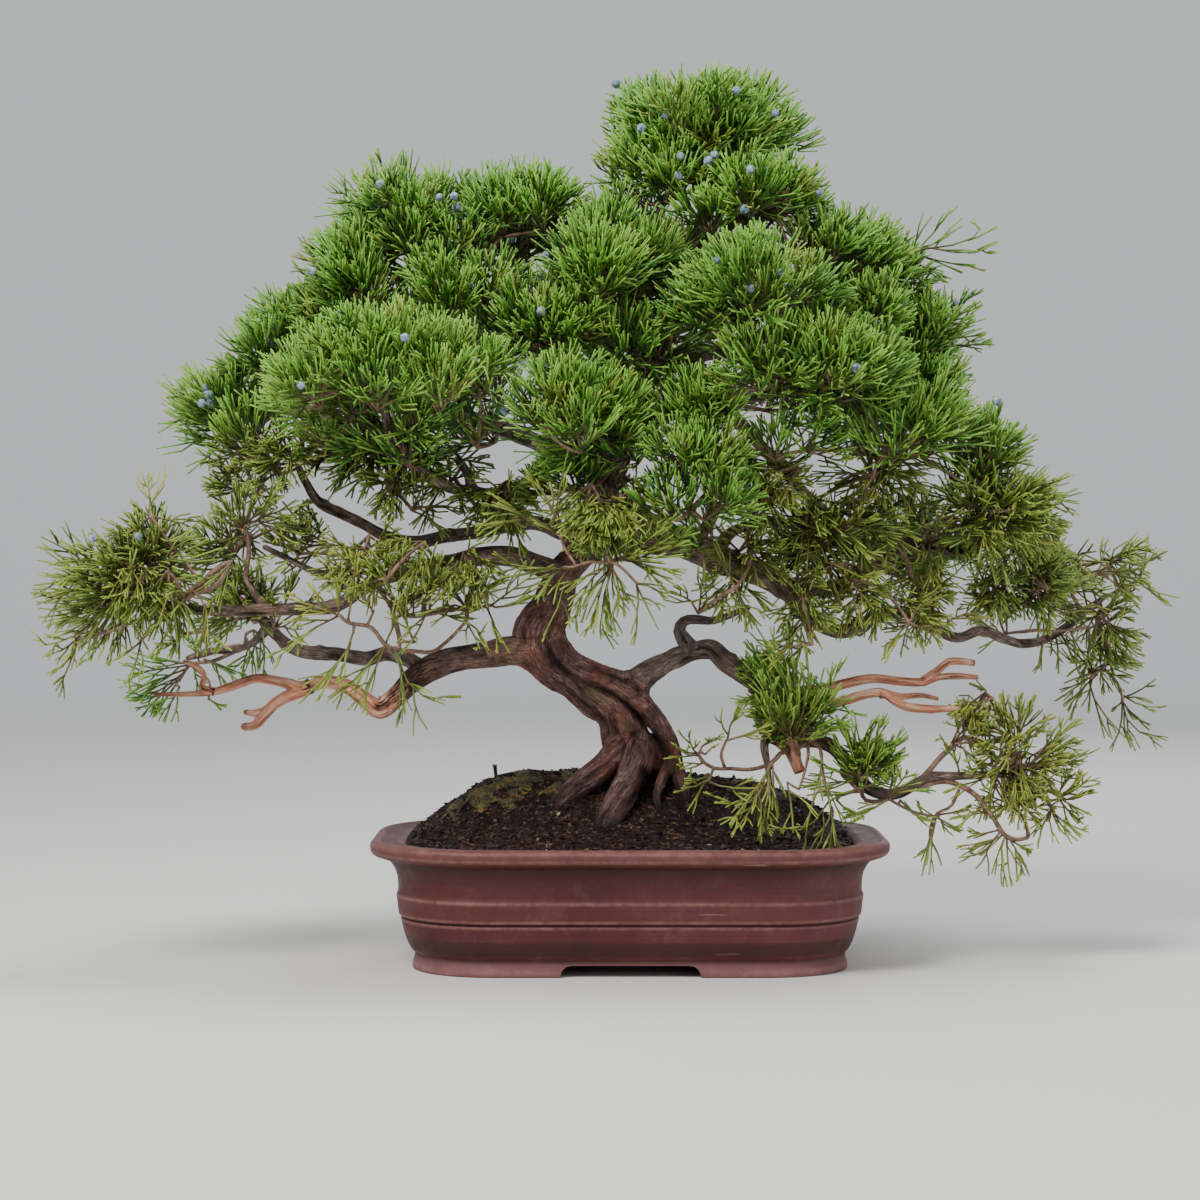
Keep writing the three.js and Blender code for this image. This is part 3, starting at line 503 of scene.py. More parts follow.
def noiseNode(vector, scale, detail=4.0, roughness=0.55, distortion=0.0):
    return addNode(vector.id_data, "TexNoise", {"Vector": vector, "Scale": scale, "Detail": detail,
                                                "Roughness": roughness, "Distortion": distortion}).outputs[0]


def cellNode(vector, scale, output="Distance"):
    return addNode(vector.id_data, "TexVoronoi", {"Vector": vector, "Scale": scale}).outputs[output]


def bumpNode(height, strength, distance, normal=None):
    node = addNode(height.id_data, "Bump", {"Height": height, "Strength": strength, "Distance": distance})
    if normal is not None:
        setInputs(node, {"Normal": normal})
    return node.outputs["Normal"]


def attributeOf(finish, name):
    node = finish.node_tree.nodes.new("ShaderNodeAttribute")
    node.attribute_type = 'GEOMETRY'
    node.attribute_name = name
    return node.outputs


# The four parts of a piece's tone attribute
def toneOf(finish):
    tone = attributeOf(finish, "tone")
    parts = addNode(finish.node_tree, "SeparateColor", {"Color": tone["Color"]})
    return (*parts.outputs, tone["Alpha"])


rng = np.random.default_rng(41)
slotOf = {row["node"]: row["material_slot"] for row in frame["record"]["subparts"]}

woodValues = {
    "trunkVoxel": 2.0 * mm,
    "strands": 7,  # ropes of sinew that wind round each thick limb
    "strandTurn": 9.0,  # radians in a metre
    "ridge": 1.5 * mm,
    "trunkBark": [(0.014, 0.007, 0.006), (0.110, 0.055, 0.046), (0.270, 0.170, 0.155), (0.520, 0.410, 0.385)],
    "boughBark": [(0.038, 0.027, 0.021), (0.165, 0.122, 0.098), (0.350, 0.280, 0.232), (0.580, 0.510, 0.450)],
    "jinBark": [(0.050, 0.027, 0.020), (0.180, 0.108, 0.082), (0.340, 0.228, 0.180), (0.540, 0.410, 0.340)],
    "redPatch": (0.185, 0.056, 0.030),
    "bareWood": [(0.190, 0.062, 0.034), (0.560, 0.280, 0.180), (0.860, 0.610, 0.490)],
    "bareTip": (0.150, 0.045, 0.024),
    "lichen": (0.150, 0.140, 0.058),
    # the near black of the painted shade near the soil and in the clefts
    "paintedShade": (0.012, 0.009, 0.009),
}


# grain: round the limb and, eight times shorter, along it, in millimetres
# tone: height of the ridges, which darkens the furrows and holes as painted shade and lightens the ridge tops,
# bareness, darkness of the end, random tint
def makeWoodFinish(name, roughness, barkStops, redShare):
    finish, shader, place = freshFinish(name)
    grain = attributeOf(finish, "grain")["Vector"]
    height, bare, dark, _ = toneOf(finish)
    fibre = noiseNode(grain, 0.78, 8.0, 0.70, 0.8)
    fine = noiseNode(grain, 1.9, 5.0, 0.65)
    flake = noiseNode(place, 95.0, 4.0, 0.6, 0.8)
    bark = ramp(fibre, list(zip((0.28, 0.44, 0.58, 0.74), barkStops)))
    patch = ramp(noiseNode(place, 34.0, 3.0, 0.5), [(0.46, 0.0), (0.64, redShare)])
    patchFibre = mathNode('MULTIPLY', patch, ramp(fine, [(0.35, 0.25), (0.62, 1.0)]))
    bark = mixColour(patchFibre, bark, woodValues["redPatch"])
    ageing = ramp(noiseNode(place, 16.0, 2.0), [(0.35, (0.76, 0.78, 0.86)), (0.65, (1.24, 1.10, 1.02))])
    # Painted shade in the furrows and painted light on the ridge tops, from the ridge height
    bark = shaded(bark, ageing, ramp(height, [(0.08, 0.14), (0.42, 0.85), (0.9, 1.45)]),
                  ramp(flake, [(0.30, 0.50), (0.64, 1.18)]), ramp(fine, [(0.34, 0.52), (0.62, 1.22)]))
    wood = ramp(noiseNode(grain, 0.34, 5.0, 0.62, 0.3), list(zip((0.28, 0.50, 0.72), woodValues["bareWood"])))
    blush = ramp(noiseNode(place, 48.0, 3.0), [(0.38, (1.0, 1.0, 1.0)), (0.66, (1.0, 0.72, 0.62))])
    # Painted shade in the cracks and holes of the bare wood, from the ridge height
    wood = shaded(wood, blush, ramp(height, [(0.0, 0.05), (0.10, 0.45), (0.5, 1.0)]))
    ragged = mathNode('MULTIPLY_ADD', fibre, 1.1, -0.55)
    bared = ramp(mathNode('ADD', bare, ragged), [(0.42, 0.0), (0.58, 1.0)])
    colour = mixColour(dark, mixColour(bared, bark, wood), woodValues["bareTip"])
    calm = mathNode('MULTIPLY_ADD', bared, -0.66, 1.0)
    relief = mathNode('MULTIPLY', mathNode('ADD', fibre, mathNode('MULTIPLY', fine, 0.5)), calm)
    normal = bumpNode(mathNode('MULTIPLY', flake, calm), 0.8, 0.0020)
    setInputs(shader, {"Base Color": colour, "Roughness": roughness, "Specular IOR Level": 0.30,
                       "Normal": bumpNode(relief, 1.0, 0.0026, normal)})
    return finish


boughFinish = makeWoodFinish("weatheredBoughBark", 0.76, woodValues["boughBark"], 0.35)
jinFinish = makeWoodFinish("bleachedJin", 0.62, woodValues["jinBark"], 0.6)


def ringNoise(cosines, sines, radius, travel, shift, aroundScale, alongScale):
    rows = np.stack([cosines * radius * aroundScale, sines * radius * aroundScale,
                     travel * alongScale + 0 * cosines], axis=-1)
    return noiseAt(rows.reshape(-1, 3), 1.0, shift).reshape(cosines.shape)


# One limb as a closed tube with ridged bark, a swelling where it leaves its carrier and a rounded end
def limbTube(entries, shift, flare=1.35, ridgeScale=1.0, knots=True, bareFrom=None, darkEnd=0.0, blunt=False,
             bareRun=0.05, fineness=1.0, holes=()):
    thick = max(e[3] for e in entries)
    step = (3.4 if thick > 6 else 4.4) * mm / fineness
    sides = int(np.interp(thick, [1.5, 3, 6, 12], [6, 8, 12, 16]) * (1 if fineness == 1 else 1.3))
    centres, radii, travel = runOf(entries, step)
    tangents, across, over = framesOf(centres)
    flared = radii * (1 + (flare - 1) * np.exp(-travel / (0.008 + radii[0] * 0.6)))
    radii = flared * (1 + 0.10 * noiseAlong(travel, 38.0, shift))
    angles, c, s = unitWheel(sides)
    twist = travel[:, None] * 6.0
    ct, st = np.cos(angles[None, :] - twist), np.sin(angles[None, :] - twist)
    rr = radii[:, None]
    broad = ringNoise(ct, st, rr, travel[:, None], shift, 210.0, 26.0)
    narrow = ringNoise(ct, st, rr, travel[:, None], shift, 520.0, 60.0)
    ridged = 0.6 * (1 - 2 * np.abs(broad)) + 0.4 * (1 - 2 * np.abs(narrow)) - 0.55
    depth = np.minimum(rr * 0.17, 1.2 * mm) * ridgeScale
    skin = rr * (1 + 0.07 * broad) + depth * ridged
    if knots and travel[-1] > 0.06:
        for _ in range(int(travel[-1] / 0.05)):
            where, facing = rng.uniform(0.02, travel[-1]), rng.uniform(0, tau)
            bulge = np.exp(-((travel[:, None] - where) / 0.0042) ** 2)
            skin = skin + bulge * np.maximum(np.cos(angles[None, :] - facing), 0) ** 3 * rr * 0.32
    ring = centres[:, None, :] + across[:, None, :] * (c * skin)[..., None] + over[:, None, :] * (s * skin)[..., None]
    endStep = tangents[-1] * radii[-1]
    shrink = [(0.10, 0.93), (0.22, 0.62)] if blunt else [(0.45, 0.84), (0.85, 0.45)]
    rings = [ring]
    for ahead, part in shrink:
        rings.append((centres[-1] + (ring[-1] - centres[-1]) * part + endStep * ahead)[None])
    ring = np.concatenate(rings)
    tip = centres[-1] + endStep * (0.16 if blunt else 1.0)
    verts = np.vstack([ring.reshape(-1, 3), centres[:1], tip[None]])
    count = len(ring)
    around = np.stack([ct, st], -1)
    around = np.vstack([around, np.repeat(around[-1:], len(shrink), axis=0)])
    far = np.concatenate([travel, [travel[-1]] * len(shrink)])
    rad = np.concatenate([radii, [radii[-1] * part for _, part in shrink]])
    grain = np.concatenate([around * rad[:, None, None] * 1000,
                            np.broadcast_to((far * 120)[:, None, None], (count, sides, 1))], axis=-1)
    grain = grain + np.array(shift) * 3
    high = np.vstack([ridged, np.repeat(ridged[-1:], len(shrink), axis=0)]) + 0.55
    faces = ringFaces(count, sides)
    base, end = count * sides, count * sides + 1
    last = (count - 1) * sides
    faces += [(base, (k + 1) % sides, k) for k in range(sides)]
    faces += [(last + k, last + (k + 1) % sides, end) for k in range(sides)]
    shown = shownAt(verts[:-2])
    # Holes are pushed in, and painted dark as shade through the ridge height
    for x, z, width, deep in holes:
        fall = np.exp(-(np.hypot(shown[:, 0] - x, shown[:, 1] - z) / width) ** 2).reshape(count, sides)
        fall = fall * (ring[..., 1] < ring[..., 1].mean(axis=1, keepdims=True))
        verts[:-2, 1] += (fall * deep * mm).ravel()
        high = high * (1 - np.clip(fall * 1.6, 0, 1))
    share = far / max(far[-1], 1e-6)
    bare = np.zeros(count) if bareFrom is None else np.clip((share - bareFrom) / bareRun * 0.5 + 0.5, 0, 1)
    dark = darkEnd * np.clip((share - 0.86) / 0.14, 0, 1) ** 2
    tint = rng.uniform(0, 1)
    tone = np.stack(np.broadcast_arrays(np.clip(high, 0, 1), bare[:, None], dark[:, None], tint), axis=-1)
    tone = tone.reshape(-1, 4)
    tone = np.vstack([tone, tone[:1], tone[-1:]])
    grain = np.vstack([grain.reshape(-1, 3), grain[0, :1], grain[-1, :1]])
    return verts, faces, grain, tone


def joinTubes(name, tubes):
    verts, loops, sizes, grains, tones, base = [], [], [], [], [], 0
    for tubeVerts, faces, grain, tone in tubes:
        tubeLoops, tubeSizes = flatFaces(faces)
        verts.append(tubeVerts)
        loops.append(tubeLoops + base)
        sizes.append(tubeSizes)
        grains.append(grain)
        tones.append(tone)
        base += len(tubeVerts)
    mesh = meshFrom(name, np.vstack(verts), np.concatenate(loops), np.concatenate(sizes))
    setGrain(mesh, np.vstack(grains))
    setTone(mesh, np.vstack(tones))
    return mesh


# Clefts in the front of the trunk, pushed in and painted dark as shade: x, z, width and depth in millimetres, along
# each
cleftPlan = [
    [[-38, 223, 1.6, 1.5], [-27, 222, 2.0, 4], [-17, 218, 2.2, 5], [-8, 213, 2.4, 6], [0, 206.5, 2.6, 7],
     [9, 196.5, 2.8, 8], [17, 186.5, 3.0, 9], [25, 176.5, 3.2, 8], [30, 166.5, 3.2, 5], [32, 155, 3.4, 4],
     [31, 144, 4.0, 5]],
    [[-12, 149, 2.0, 2], [-17, 143, 3.0, 6], [-22, 137, 4.5, 9], [-29, 131, 5.0, 9], [-36, 126, 4.0, 6]],
    [[12, 152, 4.0, 6], [15, 142, 6.5, 12], [13, 131, 7.5, 13], [10, 121, 6.5, 10]],
    [[-56, 262, 1.2, 2.0], [-50, 252, 1.4, 2.4], [-42, 243, 1.3, 2.0], [-31, 236, 1.2, 1.6]],
    [[-84, 270, 1.0, 1.4], [-76, 258, 1.1, 1.8], [-64, 246, 1.1, 1.6], [-50, 234, 1.0, 1.2]],
    [[-18, 196, 1.2, 1.6], [-10, 186, 1.3, 2.0], [-4, 174, 1.3, 2.0], [-6, 160, 1.4, 2.2], [-12, 149, 1.8, 3.0]],
    [[6, 176, 1.1, 1.6], [12, 166, 1.2, 2.0], [13, 156, 1.3, 2.2]],
]
pitPlan = [[-37, 221, 3.0, 3.5], [-73, 281, 2.0, 2.5], [-46, 246, 1.8, 2.0], [-10, 192, 1.8, 2.0], [2, 183, 1.6, 1.8]]
lichenPlan = [[-30, 217, 7.0, 4.5], [-20, 214, 6.0, 3.5], [-5, 190, 6.5, 5.0], [15, 236, 8.0, 4.0], [34, 150, 5.0, 8.0]]


# Where places are seen in the front view, as x and z in millimetres
def shownAt(places):
    reach = -viewPoint[1] / (places[:, 1] * 1000 - viewPoint[1])
    shown = viewPoint[None, ::2] + (places[:, ::2] * 1000 - viewPoint[None, ::2]) * reach[:, None]
    return shown - np.array([0.0, groundBelow])


# How deep each place lies in a cleft, and how much painted shade that gives it
def cleftDepthAndShade(shown):
    depth, dark = np.zeros(len(shown)), np.zeros(len(shown))
    rows = [(a, b) for cleft in cleftPlan for a, b in zip(cleft, cleft[1:])] + [(p, p) for p in pitPlan]
    for a, b in rows:
        a, b = np.array(a, dtype=float), np.array(b, dtype=float)
        run = b[:2] - a[:2]
        share = np.clip((shown - a[:2]) @ run / max(run @ run, 1e-9), 0, 1)
        gap = np.linalg.norm(shown - a[:2] - share[:, None] * run, axis=1)
        width, deep = a[2] + (b[2] - a[2]) * share, a[3] + (b[3] - a[3]) * share
        fall = np.exp(-(gap / width) ** 2)
        depth = np.maximum(depth, deep * fall)
        dark = np.maximum(dark, np.clip(deep / 7, 0.35, 1) * np.exp(-(gap / (width * 0.85)) ** 2))
    return depth * mm, dark


# A plain closed tube, added to lists of points and faces
def addRings(verts, faces, centres, radii, sides):
    _, across, over = framesOf(centres)
    _, c, s = unitWheel(sides)
    ring = centres[:, None] + (across[:, None] * c[:, None] + over[:, None] * s[:, None]) * radii[:, None, None]
    first, last = len(verts), len(verts) + (len(centres) - 1) * sides
    verts.extend(ring.reshape(-1, 3))
    faces.extend(ringFaces(len(centres), sides, first))
    faces.extend([tuple(reversed(range(first, first + sides))), tuple(range(last, last + sides))])


# The trunk: every limb, its winding strands and the collars of the boughs, fused and carved along the grain
def makeTrunk():
    tubes, skeleton = [], []
    for index, limb in enumerate(woodPlan["trunk"]):
        centres, radii, travel = runOf(limb, 4 * mm)
        _, across, over = framesOf(centres)
        skeleton += [row + (index,) for row in zip(centres, across, over, travel, radii)]
        thick = radii.max() > 9 * mm
        tubes.append((centres, radii * (0.86 if thick else 1.0), 12))
        if not thick:
            continue
        for k in range(woodValues["strands"]):
            start = k * tau / woodValues["strands"] + rng.uniform(-0.25, 0.25)
            turn = start + travel * woodValues["strandTurn"] + 0.5 * noiseAlong(travel, 14.0, (k, 0, index))
            stand = 0.63 + 0.10 * noiseAlong(travel, 22.0, (0, k, index))
            thickness = 0.38 * (1 + 0.28 * noiseAlong(travel, 30.0, (index, 0, k)))
            line = centres + (across * np.cos(turn)[:, None] + over * np.sin(turn)[:, None]) * (radii * stand)[:, None]
            tubes.append((line, radii * thickness, 8))
    for name, limbs in woodPlan.items():
        if name.startswith("bough") or name.startswith("jin"):
            centres, radii, travel = runOf(limbs[0], 3 * mm)
            near = travel < 0.020
            if min(np.linalg.norm(centres[0] - row[0]) / row[4] for row in skeleton) > 2.2:
                continue
            fade = np.interp(travel[near], [0, 0.008, 0.020], [1.35, 1.16, 0.86])
            tubes.append((centres[near], radii[near] * fade, 12))
    verts, faces = [], []
    for centres, radii, sides in tubes:
        addRings(verts, faces, centres, radii, sides)
    mesh = bpy.data.meshes.new("trunk_bark")
    mesh.from_pydata(verts, [], faces)
    trunk = placeObject("trunk_bark", mesh)
    applyModifier(trunk, 'REMESH', mode='VOXEL', voxel_size=woodValues["trunkVoxel"], use_smooth_shade=True)
    applyModifier(trunk, 'SMOOTH', factor=0.5, iterations=4)
    places = pointsOf(trunk.data)
    spine, across, over, travels, reach, limbs = (np.array(column) for column in zip(*skeleton))
    nearest = np.empty(len(places), dtype=int)
    for start in range(0, len(places), 4000):
        gap = np.linalg.norm(places[start:start + 4000, None, :] - spine[None], axis=2) - reach[None] * 0.6
        nearest[start:start + 4000] = np.argmin(gap, axis=1)
    away = places - spine[nearest]
    sideAxis, overAxis = across[nearest], over[nearest]
    travel = travels[nearest] + np.sum(away * np.cross(sideAxis, overAxis), axis=1)
    x, y = np.sum(away * sideAxis, axis=1), np.sum(away * overAxis, axis=1)
    distance = np.hypot(x, y)
    turn = np.arctan2(y, x) - travel * woodValues["strandTurn"]
    shift = limbs[nearest][:, None] * np.array([0.61, 1.7, 0.37])
    grain = np.stack([distance * np.cos(turn), distance * np.sin(turn), travel * 0.12], axis=1)
    rope = np.abs(noiseAt(grain * 115.0 + shift, 1.0))
    fibre = np.abs(noiseAt(grain * 260.0 + shift, 1.0))
    lump = noiseAt(places, 62.0)
    flake = noiseAt(places, 190.0)
    relief = 0.95 * (1 - 3.2 * rope) + 0.55 * (1 - 3.2 * fibre) + 0.45 * lump + 0.30 * flake
    normals = np.empty(len(places) * 3, dtype=np.float32)
    trunk.data.vertices.foreach_get("normal", normals)
    normals = normals.reshape(-1, 3)
    moved = places + normals * (np.clip(relief, -1.6, 1.3) * 0.55 * woodValues["ridge"])[:, None]
    shown = shownAt(places)
    depth, dark = cleftDepthAndShade(shown)
    facing = np.clip(-normals[:, 1] * 2.2 + 0.35, 0, 1) * (away[:, 1] < 0.004)
    moved[:, 1] += depth * facing
    trunk.data.vertices.foreach_set("co", moved.astype(np.float32).ravel())
    trunk.data.update()
    # Painted shade: the clefts lower the ridge tone, and the bark near the soil and in the clefts is blackened
    high = np.clip(0.52 + 0.34 * relief, 0, 1) * (1 - 0.5 * dark * facing)
    above = moved[:, 2] - 0.151 - 0.77 * np.minimum(moved[:, 1], 0.006)
    rootAndCleftShade = np.maximum(np.clip(1 - above / 0.024, 0, 1) ** 1.2 * 0.88, dark * facing * 0.92)
    crust = np.zeros(len(places))
    for x, z, reachX, reachZ in lichenPlan:
        crust = np.maximum(crust, np.exp(-((shown[:, 0] - x) / reachX) ** 2 - ((shown[:, 1] - z) / reachZ) ** 2))
    setLayer(trunk.data, "lichen", 'FLOAT', "value", crust * facing)
    setGrain(trunk.data, grain * 1000 + shift * 9)
    setTone(trunk.data, np.stack(np.broadcast_arrays(high, 0, 0, 0.5), axis=1))
    setLayer(trunk.data, "paintedShade", 'FLOAT', "value", rootAndCleftShade)
    return finishPiece(trunk, trunkFinish, ["trunk"])


# The trunk's bark, blackened by painted shade near the soil and in the hollows, with a patch of lichen
def makeTrunkFinish():
    finish = makeWoodFinish("shreddingTrunkBark", 0.80, woodValues["trunkBark"], 0.85)
    shader = finish.node_tree.nodes["Principled BSDF"]
    dry = shader.inputs["Base Color"].links[0].from_socket
    place = addNode(finish.node_tree, "TexCoord", {}).outputs["Object"]
    crust = ramp(noiseNode(place, 330.0, 4.0), [(0.40, 0.1), (0.58, 0.85)])
    grown = mixColour(mathNode('MULTIPLY', attributeOf(finish, "lichen")["Fac"], crust), dry, woodValues["lichen"])
    # Painted shade near the soil and in the clefts, mixed in over the bark
    setInputs(shader, {"Base Color": mixColour(attributeOf(finish, "paintedShade")["Fac"], grown, woodValues["paintedShade"])})
    return finish


trunkFinish = makeTrunkFinish()
makeTrunk()
print("trunk", triangleTally["trunk_bark"])

# bareFrom: where along the limb the bark ends
limbHabits = {
    "jin_left": {"bareFrom": [0.34, 0.0, 0.0, 0.0], "darkEnd": [0.9, 0.5, 0.7, 0.8], "bareRun": 0.30, "fineness": 1.7,
                 "holes": [[-208.5, 205.5, 3.2, 5.0], [-204, 207.5, 2.2, 3.5], [-262, 222, 1.6, 1.4]]},
    "jin_right_upper": {"bareFrom": [-0.1, -0.1], "darkEnd": [0.7, 0.9]},
    "jin_right_lower": {"bareFrom": [-0.1, -0.1], "darkEnd": [0.1, 0.8]},
    "bough_right_low": {"bareFrom": [None, None, None, None, None, 0.05], "darkEnd": [0, 0.5, 0, 0, 0, 0.3]},
}


def makeLimbs(name):
    habit = dict(limbHabits.get(name, {}))
    bareFroms, darkEnds = habit.pop("bareFrom", [None] * 9), habit.pop("darkEnd", [0.0] * 9)
    tubes = []
    for index, limb in enumerate(woodPlan[name]):
        bare = bareFroms[index] is not None
        shift = tuple(rng.uniform(0, 40, 3))
        tubes.append(limbTube(limb, shift, flare=1.5 if index else 1.12, ridgeScale=0.45 if bare else 1.0,
                              knots=not bare or index == 0, bareFrom=bareFroms[index], darkEnd=darkEnds[index],
                              blunt=bare and name != "jin_left", **habit))
    finish = jinFinish if name.startswith("jin") else boughFinish
    pieceFrom(name + "_wood", joinTubes(name + "_wood", tubes), finish, [name])


for name in woodPlan:
    if name != "trunk":
        makeLimbs(name)
print("boughs and dead wood", sum(triangleTally.values()))

foliageColours = {
    "fresh": {"deep": (0.010, 0.034, 0.004), "green": (0.043, 0.156, 0.011), "bright": (0.208, 0.458, 0.052)},
    "pale": {"deep": (0.009, 0.023, 0.003), "green": (0.058, 0.118, 0.010), "bright": (0.262, 0.400, 0.058)},
    "twig": [(0.110, 0.062, 0.045), (0.330, 0.190, 0.125)],
    "yellowed": (0.50, 0.46, 0.09),
}


# tone: along the twig, random tint, yellowness, woodiness; sprays deep in the crown get lower along values and are
# painted darker, partly as older growth and partly as painted shade
def makeFoliageFinish(name, colours):
    finish, shader, place = freshFinish(name)
    along, tint, yellow, woody = toneOf(finish)
    shade = mathNode('ADD', along, mathNode('MULTIPLY_ADD', tint, 0.55, -0.27), clamp=True)
    green = ramp(shade, [(0.0, colours["deep"]), (0.45, colours["green"]), (0.95, colours["bright"])])
    speck = noiseNode(place, 900.0, 2.0)
    leafy = shaded(mixColour(yellow, green, foliageColours["yellowed"]), ramp(speck, [(0.35, 0.72), (0.65, 1.12)]))
    twig = ramp(noiseNode(place, 240.0, 3.0), list(zip((0.3, 0.7), foliageColours["twig"])))
    setInputs(shader, {"Base Color": mixColour(woody, leafy, twig), "Roughness": 0.50, "Specular IOR Level": 0.42,
                       "Normal": bumpNode(speck, 0.5, 0.0004)})
    return finish


greenOf = {"foliage": makeFoliageFinish("juniperFresh", foliageColours["fresh"]),
           "foliage_pale": makeFoliageFinish("juniperPale", foliageColours["pale"])}

# x, z, y, half width, half height, half depth in millimetres, lift of the growth, yellowness, habit
padPlan = {
    "foliage_top": [60, 702, 0, 92, 50, 104, 0.55, 0.02, "dense"],
    "foliage_crown_right": [108, 640, -35, 85, 40, 94, 0.45, 0.03, "dense"],
    "foliage_dome_left": [-178, 610, 10, 84, 62, 110, 0.5, 0.0, "dense"],
    "foliage_dome_centre": [-98, 614, -8, 72, 64, 98, 0.5, 0.0, "dense"],
    "foliage_crown_centre": [-20, 580, -48, 88, 66, 98, 0.4, 0.03, "dense"],
    "foliage_shoulder_right": [200, 590, 5, 68, 45, 98, 0.45, 0.04, "dense"],
    "foliage_crown_front": [105, 566, -120, 80, 48, 78, 0.5, 0.04, "dense"],
    "foliage_shoulder_left": [-252, 545, 0, 66, 48, 91, 0.45, 0.02, "dense"],
    "foliage_left_front": [-200, 495, -140, 108, 60, 90, 0.55, 0.05, "dense"],
    "foliage_left_outer": [-325, 460, 5, 70, 52, 91, 0.4, 0.05, "dense"],
    "foliage_left_under": [-245, 424, -54, 125, 30, 65, 0.1, 0.12, "loose"],
    "foliage_centre_front": [-55, 465, -128, 78, 50, 78, 0.55, 0.05, "dense"],
    "foliage_centre_hanging": [-15, 322, -157, 62, 48, 49, -0.5, 0.16, "hanging"],
    "foliage_right_front": [148, 510, -120, 95, 48, 84, 0.5, 0.05, "dense"],
    "foliage_right_mid": [228, 448, -67, 82, 54, 84, 0.35, 0.08, "dense"],
    "foliage_right_upper": [248, 530, 20, 52, 42, 78, 0.4, 0.06, "dense"],
    "foliage_right_outer": [312, 368, -29, 74, 56, 78, 0.15, 0.12, "loose"],
    "foliage_right_fans": [60, 412, -128, 60, 50, 62, 0.7, 0.04, "dense"],
    "foliage_right_inner": [178, 350, -51, 80, 46, 60, 0.1, 0.16, "loose"],
    "foliage_far_right": [400, 282, 122, 63, 82, 60, -0.2, 0.16, "loose"],
    "foliage_low_right_inner": [133, 212, -66, 50, 48, 36, 0.4, 0.20, "loose"],
    "foliage_low_right_middle": [202, 166, -56, 36, 30, 30, 0.4, 0.20, "loose"],
    "foliage_low_right_outer": [332, 148, -28, 54, 66, 50, -0.05, 0.24, "loose"],
    "foliage_low_right_hanging": [120, 134, -104, 48, 31, 34, -0.7, 0.18, "hanging"],
    "foliage_far_left_outer": [-428, 306, -105, 77, 70, 70, 0.05, 0.16, "loose"],
    "foliage_far_left_inner": [-312, 324, -62, 58, 52, 58, 0.25, 0.14, "loose"],
    "foliage_left_dark": [-372, 236, 60, 46, 30, 40, -0.5, 0.0, "hanging"],
    "foliage_left_low_front": [-205, 288, -125, 78, 50, 52, 0.0, 0.20, "sparse"],
    "foliage_back_left": [-180, 475, 138, 120, 82, 90, 0.35, 0.02, "back"],
    "foliage_back_centre": [0, 542, 145, 110, 108, 90, 0.4, 0.0, "back"],
    "foliage_back_right": [178, 480, 138, 115, 82, 90, 0.35, 0.02, "back"],
    "foliage_back_right_low": [225, 335, 128, 95, 48, 72, 0.1, 0.08, "back"],
}
